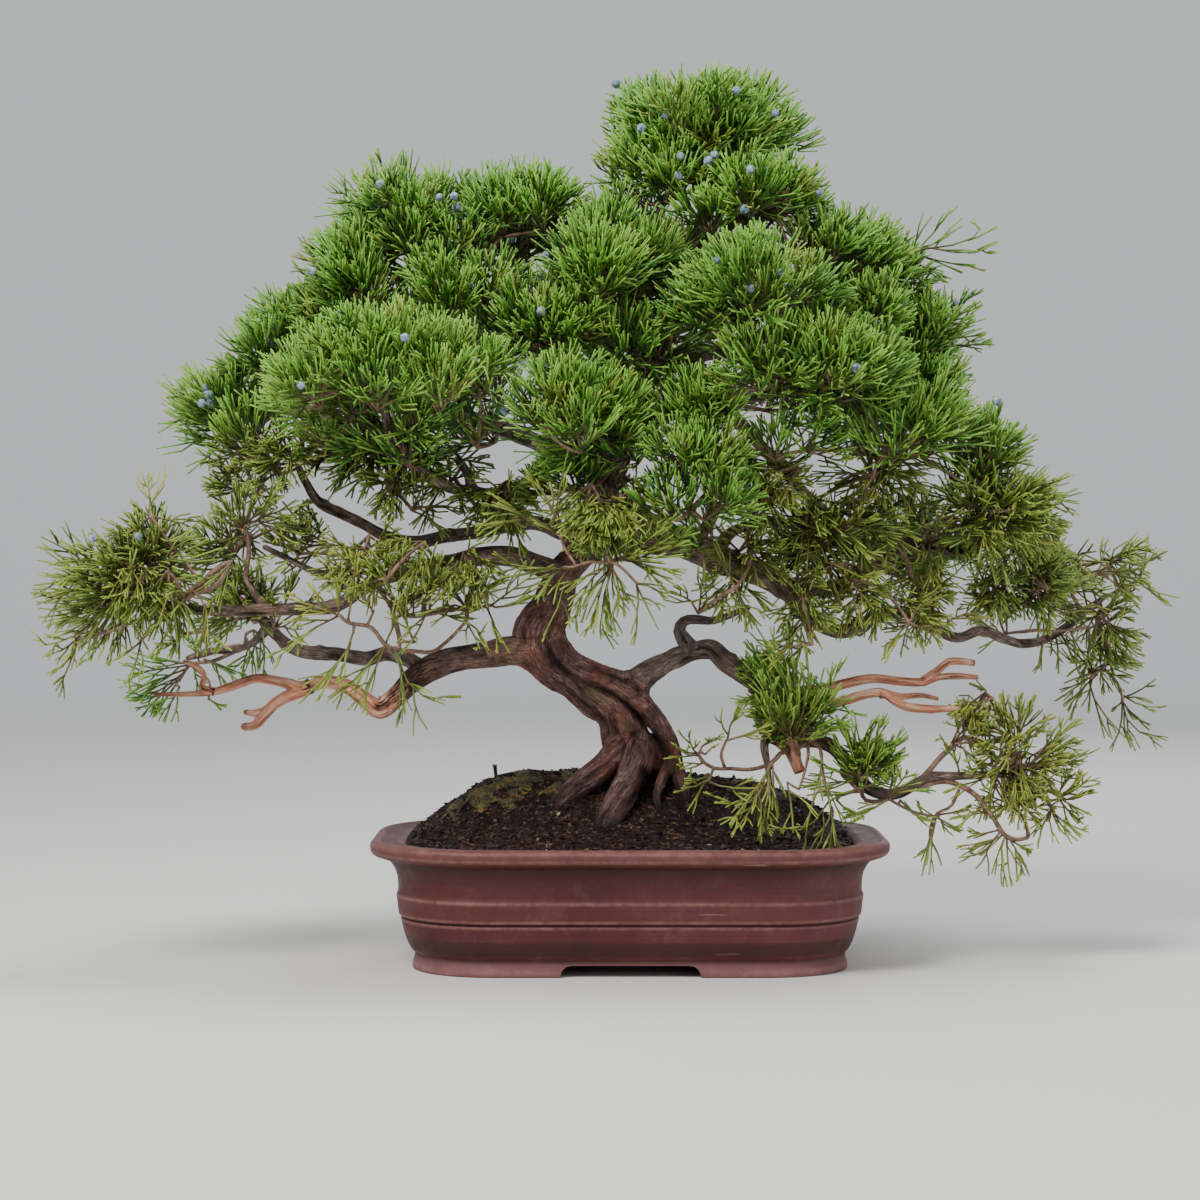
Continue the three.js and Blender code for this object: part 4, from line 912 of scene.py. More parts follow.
# Where the twigs stand: x, z, y, half sizes and habit. A pad without a row is one mass of its own size
massPlan = {
    "foliage_top": [[62, 701, 2, 86, 51, 94], [30, 656, -30, 54, 34, 60]],
    "foliage_crown_right": [[102, 640, -35, 76, 38, 88], [156, 604, -62, 44, 34, 52]],
    "foliage_dome_left": [[-182, 612, 10, 82, 60, 104], [-228, 576, -36, 54, 42, 64], [-140, 560, -66, 62, 44, 60],
                          [-196, 556, 16, 66, 30, 60, "back"]],
    "foliage_dome_centre": [[-102, 616, -8, 70, 60, 94], [-60, 586, -40, 46, 42, 60], [-140, 606, -60, 40, 40, 40],
                            [-100, 545, -10, 66, 36, 56, "back"]],
    "foliage_crown_centre": [[-20, 580, -48, 86, 64, 96], [26, 528, -98, 60, 44, 58], [-62, 532, -100, 60, 40, 54]],
    "foliage_shoulder_right": [[194, 584, 5, 60, 42, 90], [176, 552, -60, 56, 40, 56]],
    "foliage_left_outer": [[-325, 460, 5, 68, 50, 90], [-292, 506, -8, 50, 38, 64]],
    "foliage_left_front": [[-200, 495, -140, 106, 58, 88], [-132, 448, -122, 64, 38, 50],
                           [-214, 446, -104, 88, 26, 56, "loose"], [-112, 500, -84, 56, 36, 50, "back"]],
    "foliage_left_under": [[-245, 420, -54, 124, 28, 62], [-190, 388, -70, 60, 24, 40, "airy"],
                           [-316, 400, -36, 46, 24, 40, "loose"], [-112, 372, -76, 56, 26, 36, "airy"]],
    "foliage_centre_front": [[-55, 465, -128, 78, 48, 76], [8, 432, -112, 52, 34, 50], [-40, 408, -84, 60, 24, 44],
                             [-16, 484, -70, 60, 40, 50, "back"]],
    "foliage_right_front": [[148, 508, -120, 94, 48, 82], [72, 478, -112, 52, 38, 54]],
    "foliage_right_mid": [[228, 450, -67, 82, 54, 84], [146, 448, -98, 62, 36, 54], [292, 428, -36, 40, 40, 56]],
    "foliage_right_upper": [[240, 528, 20, 46, 40, 72], [248, 488, -30, 42, 32, 52]],
    "foliage_right_inner": [[178, 350, -51, 80, 44, 60], [222, 394, -58, 60, 34, 50], [118, 390, -88, 46, 28, 40],
                            [112, 330, -84, 46, 30, 34, "airy"], [196, 306, -66, 54, 30, 40, "airy"],
                            [252, 296, -30, 40, 30, 40, "airy"],
                            [156, 284, -78, 50, 26, 32, "airy"], [226, 280, -58, 50, 24, 34, "airy"],
                            [92, 304, -92, 38, 26, 30, "airy"]],
    "foliage_right_outer": [[312, 368, -29, 74, 54, 76], [346, 312, 24, 44, 36, 46],
                            [312, 298, 20, 40, 26, 40, "airy"]],
    "foliage_far_left_outer": [[-426, 314, -103, 78, 50, 56], [-410, 352, -98, 46, 26, 42, "loose"],
                               [-446, 284, -100, 50, 28, 40, "airy"]],
    "foliage_far_left_inner": [[-320, 300, -50, 50, 30, 44], [-338, 346, -34, 40, 30, 36],
                               [-286, 350, -34, 40, 28, 36]],
    "foliage_far_right": [[386, 316, 112, 64, 36, 46], [402, 254, 118, 34, 32, 30, "airy"]],
    "foliage_low_right_outer": [[348, 156, -28, 28, 30, 26, "airy"], [326, 124, -30, 34, 26, 26, "airy"],
                                [296, 190, -30, 26, 20, 22, "airy"]],
    "foliage_low_right_middle": [[204, 164, -52, 28, 24, 24, "tuft"]],
    "foliage_low_right_inner": [[134, 204, -60, 38, 30, 28, "tuft"], [112, 236, -58, 24, 22, 22, "tuft"]],
    "foliage_left_low_front": [[-228, 320, -110, 54, 22, 34, "airy"], [-156, 308, -116, 46, 24, 34, "airy"]],
    "foliage_centre_hanging": [[-15, 344, -146, 54, 26, 36]],
    "foliage_low_right_hanging": [],
    "foliage_left_dark": [],
}
masses = [(name, row) for name in padPlan for row in massPlan.get(name, [padPlan[name][:6]])]
massCentres = np.array([sight(row) for _, row in masses])
massHalves = np.array([(row[3], row[5], row[4]) for _, row in masses]) * mm
massHabits = [row[6] if len(row) > 6 else padPlan[name][8] for name, row in masses]
crownHeart = np.array([-0.01, 0.03, 0.42])
# plume spacing, sprays in a plume, spray length, spread of a plume, share kept below, droop, inner plumes, cords
habitParts = ("spacing", "sprays", "length", "spread", "under", "droop", "inner", "cords")
habits = {name: dict(zip(habitParts, row)) for name, row in {
    "dense": (48.0, 8, (34.0, 60.0), 60.0, 0.22, 0.0, 0.8, 6),
    "loose": (52.0, 6, (38.0, 62.0), 70.0, 0.65, 0.20, 0.3, 5),
    "airy": (50.0, 5, (38.0, 60.0), 75.0, 0.9, 0.45, 0.0, 5),
    "hanging": (44.0, 6, (36.0, 56.0), 45.0, 1.0, 0.5, 0.0, 6),
    "tuft": (34.0, 7, (26.0, 42.0), 50.0, 0.5, 0.0, 0.2, 5),
    "sparse": (54.0, 5, (36.0, 56.0), 62.0, 0.8, 0.2, 0.0, 6),
    "back": (58.0, 7, (40.0, 62.0), 56.0, 0.35, 0.0, 0.8, 6),
}.items()}
twigValues = {
    "radius": 0.88 * mm,
    "sideAngle": (28.0, 56.0),
    "plumeAngle": (32.0, 66.0),
    "endAngle": (3.0, 24.0),
    "stemRadius": 1.10 * mm,
    "branchletRadius": (2.5 * mm, 1.3 * mm),
    "stalk": 13.0 * mm,
    "longest": (38 * mm, 46 * mm),  # side cord of a placed sprig, and of a spray in a plume
    "yellowSprays": 0.06,  # share of sprays that turn straw yellow
}

# Brown branchlets that show: [x, z, y, radius] along each
branchletPlan = {
    "foliage_left_low_front": [
        [[-198, 290, -98, 2.2], [-191, 254, -100, 2.04], [-202, 257, -102, 1.88], [-215, 272, -104, 1.72],
         [-235, 276, -106, 1.56], [-241, 281, -108, 1.4]],
        [[-198, 290, -98, 2.0], [-183, 281, -100, 1.77], [-161, 283, -104, 1.53], [-146, 288, -108, 1.3]],
        [[-183, 250, -6, 1.9], [-183, 252, -30, 1.75], [-162, 252, -33, 1.6], [-146, 265, -37, 1.45],
         [-135, 277, -40, 1.3]],
        [[-150, 322, -25, 2.0], [-169, 284, -98, 1.85], [-151, 286, -99, 1.7], [-129, 287, -99, 1.55],
         [-114, 290, -100, 1.4]],
    ],
    "foliage_far_left_inner": [
        [[-318, 312, -65, 2.2], [-316, 337, -66, 1.97], [-317, 349, -69, 1.73], [-318, 354, -72, 1.5]],
    ],
    "foliage_centre_hanging": [
        [[-18, 332, -150, 2.2], [-17, 327, -148, 1.9], [-14, 324, -150, 1.6]],
        [[-15, 326, -150, 1.43], [-3, 317, -151, 1.27], [6, 308, -152, 1.1]],
        [[-14, 324, -146, 1.55], [-32, 326, -145, 1.4], [-45, 321, -143, 1.25], [-55, 321, -142, 1.1]],
        [[-43, 321, -143, 1.3], [-54, 339, -142, 1.2], [-57, 352, -140, 1.1]],
        [[-52, 343, -141, 1.2], [-67, 354, -140, 1.1], [-83, 362, -138, 1.0]],
    ],
    "foliage_low_right_inner": [
        [[128, 179, -46, 2.6], [137, 157, -50, 2.4], [140, 166, -61, 2.2], [137, 178, -72, 2.0]],
        [[138, 169, -62, 1.6], [151, 178, -66, 1.4], [160, 183, -70, 1.2]],
    ],
    "foliage_low_right_hanging": [
        [[128, 179, -46, 2.3], [131, 169, -60, 2.17], [125, 166, -64, 2.05], [119, 160, -68, 1.92],
         [101, 154, -72, 1.8], [85, 154, -76, 1.67], [70, 155, -80, 1.55], [61, 160, -84, 1.43],
         [57, 166, -88, 1.3]],
        [[80, 155, -84, 1.37], [77, 166, -85, 1.23], [81, 178, -86, 1.1]],
        [[70, 155, -86, 1.1], [66, 144, -87, 1.0], [63, 143, -88, 0.9]],
        [[148, 175, -66, 1.5], [147, 157, -75, 1.3], [141, 137, -84, 1.1]],
        [[126, 179, -46, 1.6], [157, 172, -70, 1.4], [160, 149, -81, 1.2], [168, 122, -92, 1.0]],
    ],
    "foliage_low_right_middle": [
        [[181, 157, -38, 2.4], [175, 152, -44, 2.2], [184, 143, -50, 2.0], [191, 135, -56, 1.8]],
        [[171, 131, -46, 1.8], [184, 135, -51, 1.6], [194, 135, -56, 1.4]],
        [[190, 145, -36, 2.0], [196, 128, -44, 1.73], [215, 129, -46, 1.47], [227, 140, -48, 1.2]],
        [[215, 129, -44, 1.27], [234, 119, -43, 1.13], [255, 113, -42, 1.0]],
    ],
    "foliage_low_right_outer": [
        [[236, 140, -30, 2.6], [249, 153, -28, 2.45], [262, 167, -28, 2.3], [277, 180, -29, 2.15],
         [288, 178, -29, 2.0], [305, 177, -30, 1.85], [322, 179, -30, 1.7]],
        [[277, 180, -28, 1.35], [277, 188, -29, 1.2]],
        [[312, 151, -28, 1.9], [322, 158, -28, 1.78], [332, 154, -29, 1.66], [341, 144, -30, 1.54],
         [352, 134, -31, 1.42], [361, 129, -32, 1.3]],
        [[236, 138, -30, 2.6], [262, 144, -28, 2.43], [285, 134, -29, 2.27], [300, 116, -30, 2.1],
         [312, 99, -30, 1.93], [322, 95, -31, 1.77], [331, 97, -32, 1.6]],
        [[274, 137, -26, 1.57], [267, 123, -22, 1.45], [256, 118, -18, 1.32], [254, 114, -14, 1.2]],
        [[298, 150, -28, 1.47], [307, 155, -29, 1.33], [315, 157, -30, 1.2]],
        [[323, 156, -28, 1.53], [339, 136, -30, 1.37], [352, 122, -32, 1.2]],
    ],
    "foliage_far_right": [
        [[380, 286, 108, 2.6], [372, 287, 116, 2.44], [385, 284, 114, 2.28], [391, 266, 113, 2.12],
         [396, 254, 112, 1.96], [394, 238, 110, 1.8]],
        [[394, 237, 110, 1.53], [403, 229, 108, 1.37], [409, 213, 106, 1.2]],
        [[394, 238, 110, 1.43], [388, 235, 108, 1.27], [382, 229, 106, 1.1]],
        [[390, 294, 116, 2.2], [378, 287, 116, 1.93], [399, 299, 114, 1.67], [419, 309, 112, 1.4]],
        [[385, 283, 114, 1.37], [396, 283, 111, 1.23], [399, 269, 108, 1.1]],
        [[328, 268, 60, 1.72], [343, 269, 68, 1.55], [357, 268, 76, 1.38], [381, 272, 84, 1.2]],
    ],
    "foliage_far_left_outer": [
        [[-380, 289, -98, 2.6], [-330, 326, -100, 2.38], [-343, 306, -102, 2.16], [-361, 299, -105, 1.94],
         [-381, 285, -108, 1.72], [-404, 262, -110, 1.5]],
        [[-368, 293, -106, 2.05], [-400, 280, -108, 1.8], [-429, 269, -110, 1.55], [-456, 262, -112, 1.3]],
    ],
    "foliage_left_dark": [
        [[-366, 246, 56, 2.2], [-319, 257, 56, 1.98], [-341, 245, 55, 1.75], [-364, 240, 53, 1.53],
         [-373, 227, 52, 1.3]],
        [[-364, 240, 54, 1.27], [-349, 227, 52, 1.13], [-349, 212, 50, 1.0]],
    ],
}

# Sprigs set out one by one, in groups as deep at the base and at the tip as the first two numbers say:
# x, z at the base, x, z half way, x, z at the tip, side cords
sprigPlan = {
    "foliage_left_low_front": [
        [-106, -128, [
            [-229, 267, -238, 244, -268, 215, 7], [-202, 257, -219, 238, -246, 209, 7],
            [-202, 257, -215, 228, -228, 203, 5], [-202, 257, -187, 235, -189, 192, 4],
            [-191, 244, -180, 218, -153, 211, 5], [-241, 281, -268, 267, -293, 245, 6],
            [-241, 281, -257, 288, -283, 295, 6], [-241, 281, -240, 301, -246, 324, 7],
            [-233, 279, -228, 308, -227, 330, 6], [-202, 258, -192, 281, -182, 302, 6],
            [-188, 281, -206, 308, -213, 333, 7], [-183, 281, -191, 312, -187, 337, 8],
            [-172, 283, -170, 309, -159, 333, 8], [-166, 284, -164, 306, -150, 322, 7],
            [-199, 298, -216, 314, -228, 329, 6], [-159, 284, -146, 298, -133, 318, 7],
            [-160, 283, -143, 280, -125, 288, 5], [-178, 259, -186, 275, -184, 301, 5],
            [-212, 285, -225, 301, -238, 309, 5], [-179, 281, -178, 301, -172, 325, 8],
            [-194, 293, -204, 314, -202, 332, 7], [-155, 284, -135, 288, -120, 312, 6],
            [-135, 276, -128, 264, -124, 254, 3], [-168, 285, -175, 268, -183, 256, 5],
        ]],
        [-96, -118, [
            [-114, 290, -92, 306, -73, 320, 7], [-136, 287, -129, 306, -127, 319, 5],
            [-154, 286, -144, 302, -132, 320, 6], [-117, 286, -110, 269, -110, 254, 4],
            [-136, 277, -125, 269, -122, 262, 4], [-111, 288, -97, 290, -82, 302, 5],
            [-165, 284, -165, 302, -159, 320, 5], [-125, 288, -120, 302, -114, 312, 5],
        ]],
    ],
    "foliage_centre_hanging": [
        [-142, -158, [
            [-15, 324, -26, 299, -30, 266, 7], [-17, 324, -37, 306, -45, 277, 8], [-15, 323, -20, 296, -17, 268, 6],
            [-14, 323, -24, 287, -21, 265, 5], [-14, 321, -11, 302, -2, 293, 4], [6, 308, 8, 287, 1, 266, 1],
            [6, 306, 14, 290, 24, 270, 1], [6, 308, 19, 305, 28, 298, 3], [-14, 327, 1, 334, -11, 361, 8],
            [-12, 327, 11, 334, 20, 364, 9], [-11, 327, 19, 331, 51, 351, 9], [-3, 327, 23, 321, 35, 317, 5],
            [4, 328, 19, 314, 28, 308, 4], [-17, 328, -3, 346, 4, 367, 8], [-8, 328, 16, 343, 37, 364, 8],
            [-17, 326, -8, 306, -9, 284, 6], [-55, 321, -70, 309, -71, 297, 4], [-55, 321, -54, 299, -71, 265, 3],
            [-58, 352, -64, 374, -86, 401, 4], [-57, 354, -61, 380, -48, 408, 2], [-58, 352, -43, 364, -32, 374, 3],
            [-55, 351, -37, 351, -20, 348, 3], [-82, 362, -107, 358, -122, 352, 4],
            [-85, 362, -107, 367, -122, 357, 3], [-57, 346, -77, 361, -114, 373, 4],
            [-43, 320, -77, 320, -108, 326, 5], [-26, 327, -36, 336, -48, 343, 4], [-17, 327, -26, 343, -20, 357, 5],
        ]],
    ],
    "foliage_low_right_inner": [
        [-76, -92, [
            [131, 178, 116, 209, 97, 212, 5], [132, 180, 125, 217, 101, 257, 9], [134, 180, 131, 224, 114, 261, 9],
            [137, 180, 138, 224, 131, 260, 9], [138, 180, 148, 217, 148, 243, 9], [140, 180, 160, 209, 176, 242, 8],
            [141, 180, 168, 202, 182, 206, 8], [138, 181, 160, 187, 181, 197, 7], [135, 180, 148, 178, 159, 184, 5],
            [131, 181, 116, 197, 119, 222, 8], [137, 181, 142, 205, 140, 231, 8], [140, 181, 154, 199, 160, 226, 8],
            [132, 181, 125, 199, 104, 231, 7],
        ]],
    ],
    "foliage_low_right_hanging": [
        [-86, -106, [
            [57, 166, 51, 172, 49, 184, 4], [56, 165, 46, 166, 42, 172, 3], [61, 159, 51, 154, 42, 154, 3],
            [60, 172, 66, 177, 72, 180, 3], [63, 166, 68, 171, 71, 174, 2], [70, 153, 61, 141, 43, 138, 4],
            [64, 144, 80, 138, 106, 138, 2], [81, 178, 85, 196, 95, 205, 6], [83, 178, 101, 184, 116, 190, 5],
            [119, 159, 107, 140, 83, 108, 5], [116, 157, 106, 128, 89, 104, 6], [107, 138, 111, 119, 118, 97, 7],
            [106, 128, 110, 113, 110, 100, 5], [119, 157, 120, 134, 123, 112, 2], [116, 157, 125, 143, 129, 134, 2],
            [107, 132, 91, 123, 72, 131, 4], [158, 169, 165, 132, 174, 83, 4], [169, 119, 168, 101, 165, 85, 2],
            [168, 119, 163, 106, 154, 98, 1], [131, 143, 135, 120, 136, 101, 3], [156, 135, 150, 120, 145, 88, 3],
            [165, 126, 148, 103, 128, 105, 3],
        ]],
    ],
    "foliage_low_right_middle": [
        [-58, -66, [
            [191, 146, 184, 172, 176, 194, 7], [191, 146, 193, 172, 201, 194, 9], [191, 146, 202, 172, 209, 193, 9],
            [192, 146, 208, 165, 225, 180, 9], [193, 144, 209, 157, 227, 165, 8], [193, 138, 205, 143, 214, 156, 6],
            [190, 146, 172, 152, 156, 157, 6], [187, 143, 168, 143, 144, 138, 7], [190, 138, 175, 132, 160, 134, 5],
            [191, 146, 180, 160, 171, 178, 7], [215, 129, 218, 143, 221, 156, 5], [215, 129, 225, 143, 232, 152, 5],
            [216, 131, 234, 138, 248, 135, 5], [214, 128, 197, 118, 180, 116, 6], [172, 128, 181, 119, 191, 112, 4],
            [196, 140, 199, 154, 216, 172, 7],
        ]],
        [-40, -48, [
            [225, 128, 239, 113, 253, 110, 2], [253, 114, 246, 119, 239, 123, 2], [252, 112, 250, 91, 243, 65, 1],
            [250, 94, 245, 85, 236, 80, 0], [250, 94, 256, 84, 259, 74, 0], [256, 113, 267, 107, 274, 104, 2],
        ]],
    ],
    "foliage_low_right_outer": [
        [-30, -40, [
            [278, 189, 271, 195, 266, 208, 3], [278, 189, 275, 200, 274, 208, 2], [279, 191, 285, 198, 293, 205, 3],
            [279, 188, 293, 185, 298, 191, 4], [265, 168, 261, 177, 257, 183, 1], [274, 148, 272, 160, 261, 174, 4],
            [322, 179, 323, 198, 323, 214, 8], [322, 179, 329, 196, 335, 212, 8], [321, 177, 314, 191, 302, 204, 6],
            [317, 179, 305, 188, 294, 196, 6], [324, 179, 336, 191, 347, 197, 7], [326, 176, 336, 182, 345, 189, 5],
            [330, 154, 345, 170, 368, 191, 9], [332, 154, 353, 170, 373, 177, 9], [333, 153, 360, 157, 378, 167, 8],
            [329, 155, 347, 160, 372, 160, 7], [356, 132, 360, 143, 366, 153, 5], [357, 132, 368, 139, 375, 149, 6],
            [358, 131, 370, 136, 383, 148, 6], [360, 129, 372, 129, 383, 137, 5], [361, 127, 370, 122, 381, 117, 6],
            [357, 128, 366, 117, 374, 111, 6], [351, 118, 362, 109, 378, 102, 6], [352, 116, 356, 106, 361, 100, 3],
            [351, 121, 342, 111, 336, 111, 5], [350, 118, 342, 106, 340, 93, 4], [314, 157, 317, 143, 324, 131, 8],
            [324, 156, 327, 140, 332, 125, 8], [313, 156, 321, 137, 312, 120, 6], [300, 144, 317, 131, 332, 126, 7],
            [311, 100, 300, 94, 277, 90, 6], [305, 98, 293, 83, 282, 84, 5], [312, 98, 308, 82, 314, 56, 4],
            [313, 97, 314, 76, 316, 62, 3], [314, 97, 324, 82, 326, 66, 6], [316, 95, 324, 90, 332, 86, 6],
            [305, 103, 293, 100, 283, 101, 5], [300, 116, 285, 120, 277, 112, 6], [322, 179, 317, 167, 308, 162, 6],
            [285, 178, 293, 171, 307, 161, 6], [323, 155, 329, 170, 330, 182, 7], [336, 150, 339, 136, 336, 123, 7],
            [317, 136, 324, 123, 323, 111, 7], [298, 149, 287, 150, 280, 151, 5], [293, 145, 276, 140, 266, 136, 5],
        ]],
        [-12, -16, [
            [254, 114, 250, 100, 243, 66, 2], [250, 93, 244, 84, 236, 80, 0], [251, 93, 256, 84, 259, 74, 0],
            [254, 115, 244, 115, 240, 123, 3], [254, 111, 239, 114, 228, 127, 1], [256, 114, 264, 105, 273, 104, 3],
            [257, 116, 271, 118, 280, 122, 5],
        ]],
    ],
    "foliage_far_right": [
        [112, 104, [
            [421, 309, 427, 323, 429, 345, 4], [428, 326, 436, 328, 442, 334, 3], [421, 311, 431, 302, 456, 296, 2],
            [427, 308, 431, 305, 436, 303, 1], [416, 305, 411, 290, 408, 277, 1], [397, 284, 400, 292, 401, 297, 5],
            [409, 213, 422, 218, 436, 228, 1], [409, 215, 424, 206, 441, 205, 3], [409, 210, 419, 197, 428, 192, 5],
            [409, 209, 415, 189, 439, 178, 4], [409, 209, 408, 189, 402, 175, 2], [409, 210, 405, 206, 400, 204, 1],
            [393, 237, 380, 229, 356, 212, 7], [388, 232, 374, 219, 368, 201, 5], [383, 229, 381, 216, 375, 206, 2],
            [382, 223, 388, 206, 411, 180, 2], [394, 244, 380, 244, 368, 235, 5], [394, 275, 406, 269, 429, 266, 3],
            [399, 269, 406, 262, 422, 258, 4], [402, 266, 414, 256, 422, 249, 3], [397, 266, 399, 252, 402, 239, 1],
            [387, 281, 399, 290, 418, 300, 5], [406, 302, 414, 320, 422, 328, 5],
        ]],
        [84, 70, [
            [342, 290, 344, 265, 340, 238, 3], [353, 266, 356, 252, 354, 237, 1], [357, 268, 365, 253, 372, 237, 4],
            [366, 266, 374, 252, 382, 238, 3], [381, 271, 382, 258, 382, 246, 1], [346, 268, 351, 254, 349, 248, 2],
            [311, 266, 303, 290, 307, 311, 7], [313, 268, 313, 281, 313, 290, 4], [310, 266, 298, 272, 289, 278, 4],
            [311, 266, 298, 263, 286, 266, 3],
        ]],
    ],
    "foliage_far_left_outer": [
        [-110, -124, [
            [-450, 272, -467, 260, -489, 256, 5], [-456, 264, -468, 253, -478, 250, 4],
            [-458, 261, -464, 243, -479, 235, 4], [-460, 253, -467, 233, -476, 218, 2],
            [-434, 266, -442, 253, -452, 243, 4], [-421, 266, -429, 253, -433, 245, 3],
            [-404, 261, -414, 252, -425, 245, 3], [-405, 260, -410, 240, -418, 224, 3],
            [-368, 266, -380, 258, -388, 256, 5], [-349, 269, -343, 262, -335, 257, 1],
            [-348, 270, -355, 258, -359, 252, 3], [-361, 301, -381, 298, -400, 284, 5],
            [-355, 296, -349, 280, -359, 253, 5], [-330, 326, -344, 311, -364, 313, 5],
            [-330, 326, -338, 307, -349, 288, 5], [-365, 301, -374, 289, -400, 266, 6],
            [-389, 272, -386, 258, -392, 248, 4], [-376, 280, -373, 262, -381, 252, 5],
            [-426, 301, -434, 273, -451, 266, 6], [-400, 319, -394, 306, -389, 301, 3],
        ]],
    ],
    "foliage_left_dark": [
        [50, 44, [
            [-365, 240, -394, 236, -414, 233, 7], [-368, 237, -394, 227, -413, 218, 7],
            [-371, 233, -394, 216, -409, 212, 7], [-374, 229, -392, 212, -401, 202, 6],
            [-376, 224, -386, 210, -394, 200, 6], [-373, 222, -381, 207, -389, 200, 5],
            [-353, 245, -336, 239, -318, 231, 5], [-343, 240, -340, 228, -338, 222, 1],
            [-349, 212, -342, 208, -334, 205, 2], [-361, 240, -359, 227, -355, 218, 5],
            [-364, 241, -381, 243, -397, 248, 6], [-357, 243, -360, 256, -368, 266, 6],
            [-318, 266, -315, 249, -328, 237, 5], [-312, 269, -310, 253, -318, 241, 5],
            [-307, 266, -302, 253, -304, 233, 4],
        ]],
    ],
    "foliage_far_left_inner": [
        [-74, -92, [
            [-319, 355, -326, 374, -326, 391, 5], [-318, 355, -314, 370, -311, 375, 6],
            [-316, 357, -304, 374, -299, 379, 6], [-308, 360, -293, 367, -274, 372, 6],
            [-307, 360, -293, 357, -278, 363, 4], [-307, 359, -291, 350, -281, 343, 3],
            [-319, 355, -330, 362, -331, 376, 5], [-320, 354, -331, 357, -339, 367, 5],
            [-318, 355, -320, 370, -318, 386, 6], [-311, 358, -302, 367, -291, 388, 5],
            [-316, 309, -301, 314, -283, 322, 2], [-314, 329, -306, 328, -299, 324, 2],
        ]],
    ],
    "foliage_shoulder_right": [
        [-10, -14, [
            [228, 578, 246, 590, 265, 617, 4],
        ]],
        [-10, -16, [
            [240, 584, 280, 590, 290, 602, 3], [245, 586, 280, 580, 295, 585, 3],
        ]],
        [-10, -14, [
            [236, 580, 268, 572, 285, 570, 3],
        ]],
        [-10, -12, [
            [232, 576, 250, 566, 262, 560, 4],
        ]],
    ],
    "foliage_right_upper": [
        [14, 8, [
            [262, 520, 276, 540, 285, 548, 4], [264, 515, 280, 528, 288, 537, 4],
        ]],
        [14, 6, [
            [268, 505, 284, 505, 300, 508, 5],
        ]],
        [14, 8, [
            [262, 510, 280, 512, 290, 514, 4],
        ]],
    ],
}

padCentres = {n: sight(row) for n, row in padPlan.items()}
padHalves = {n: np.array([row[3], row[5], row[4]]) * mm for n, row in padPlan.items()}
woodRuns = {name: [runOf(limb, 6 * mm) for limb in limbs] for name, limbs in woodPlan.items()}
carriers = np.vstack([run[0] for name, runs in woodRuns.items() if name.startswith("bough") for run in runs])


# Points spread evenly over a pad's outside, as directions scaled to a ball
def shellPoints(half, spacing):
    power = 1.6075  # gives an ellipsoid's area to about one part in a hundred
    a, b, c = half ** power
    area = 4 * pi * ((a * b + a * c + b * c) / 3) ** (1 / power)
    count = max(int(area / spacing ** 2), 4)
    fine = count * 30
    k = np.arange(fine) + 0.5
    polar = np.arccos(1 - 2 * k / fine)
    turn = pi * (1 + 5 ** 0.5) * k
    balls = np.stack([np.cos(turn) * np.sin(polar), np.sin(turn) * np.sin(polar), np.cos(polar)], axis=1)
    stretch = np.linalg.norm(balls / half, axis=1)
    pick = rng.choice(fine, size=count * 8, replace=False, p=stretch / stretch.sum())
    chosen, left = [pick[0]], list(pick[1:])
    spots = balls * half
    nearest = np.linalg.norm(spots[left] - spots[chosen[0]], axis=1)
    for _ in range(count - 1):
        best = int(np.argmax(nearest))
        chosen.append(left[best])
        nearest = np.minimum(nearest, np.linalg.norm(spots[left] - spots[left[best]], axis=1))
    return balls[chosen]


# Twiglets are gathered as lines of a few points, then made into thin closed tubes all at once
class TwigStore:
    def __init__(self):
        self.rows = {}

    def add(self, path, radius, tone, sides=3):
        self.rows.setdefault((path.shape[1], sides), []).append((path, radius, tone))

    def build(self, name):
        verts, loops, sizes, tones = [], [], [], []
        base = 0
        for (rings, sides), entries in self.rows.items():
            path, radius, tone = (np.concatenate(column) for column in zip(*entries))
            count = len(path)
            tangent = unit(np.gradient(path, axis=1))
            mean = unit(path[:, -1] - path[:, 0])
            seed = np.eye(3)[np.argmin(np.abs(mean), axis=1)]
            side = unit(np.cross(tangent, seed[:, None, :]))
            other = np.cross(tangent, side)
            phase = rng.uniform(0, tau, count)
            angle = phase[:, None] + np.arange(sides)[None, :] * tau / sides
            ring = (side[:, :, None, :] * np.cos(angle)[:, None, :, None]
                    + other[:, :, None, :] * np.sin(angle)[:, None, :, None])
            skin = path[:, :, None, :] + ring * radius[:, :, None, None]
            end = path[:, -1] + tangent[:, -1] * radius[:, -1:]
            each = rings * sides + 1
            block = np.concatenate([skin.reshape(count, rings * sides, 3), end[:, None, :]], axis=1)
            verts.append(block.reshape(-1, 3))
            skinTone = np.repeat(tone, sides, axis=1)
            tones.append(np.concatenate([skinTone, tone[:, -1:]], axis=1).reshape(-1, 4))
            last = (rings - 1) * sides
            points = [(last + s, last + (s + 1) % sides, each - 1) for s in range(sides)]
            pattern, patternSizes = flatFaces(ringFaces(rings, sides) + points + [tuple(reversed(range(sides)))])
            loops.append((base + np.arange(count)[:, None] * each + pattern[None, :]).ravel())
            sizes.append(np.tile(patternSizes, count))
            base += count * each
        mesh = meshFrom(name, np.vstack(verts), np.concatenate(loops), np.concatenate(sizes))
        setTone(mesh, np.vstack(tones))
        return mesh


# Quadratic curves from start through control to end, each (N, 3)
def arcs(start, control, end, points):
    t = np.linspace(0, 1, points)[None, :, None]
    return (1 - t) ** 2 * start[:, None] + 2 * t * (1 - t) * control[:, None] + t * t * end[:, None]


def bend(start, first, last, length, points):
    reach = (length / 2)[:, None]
    return arcs(start, start + first * reach, start + (first + last) * reach, points)


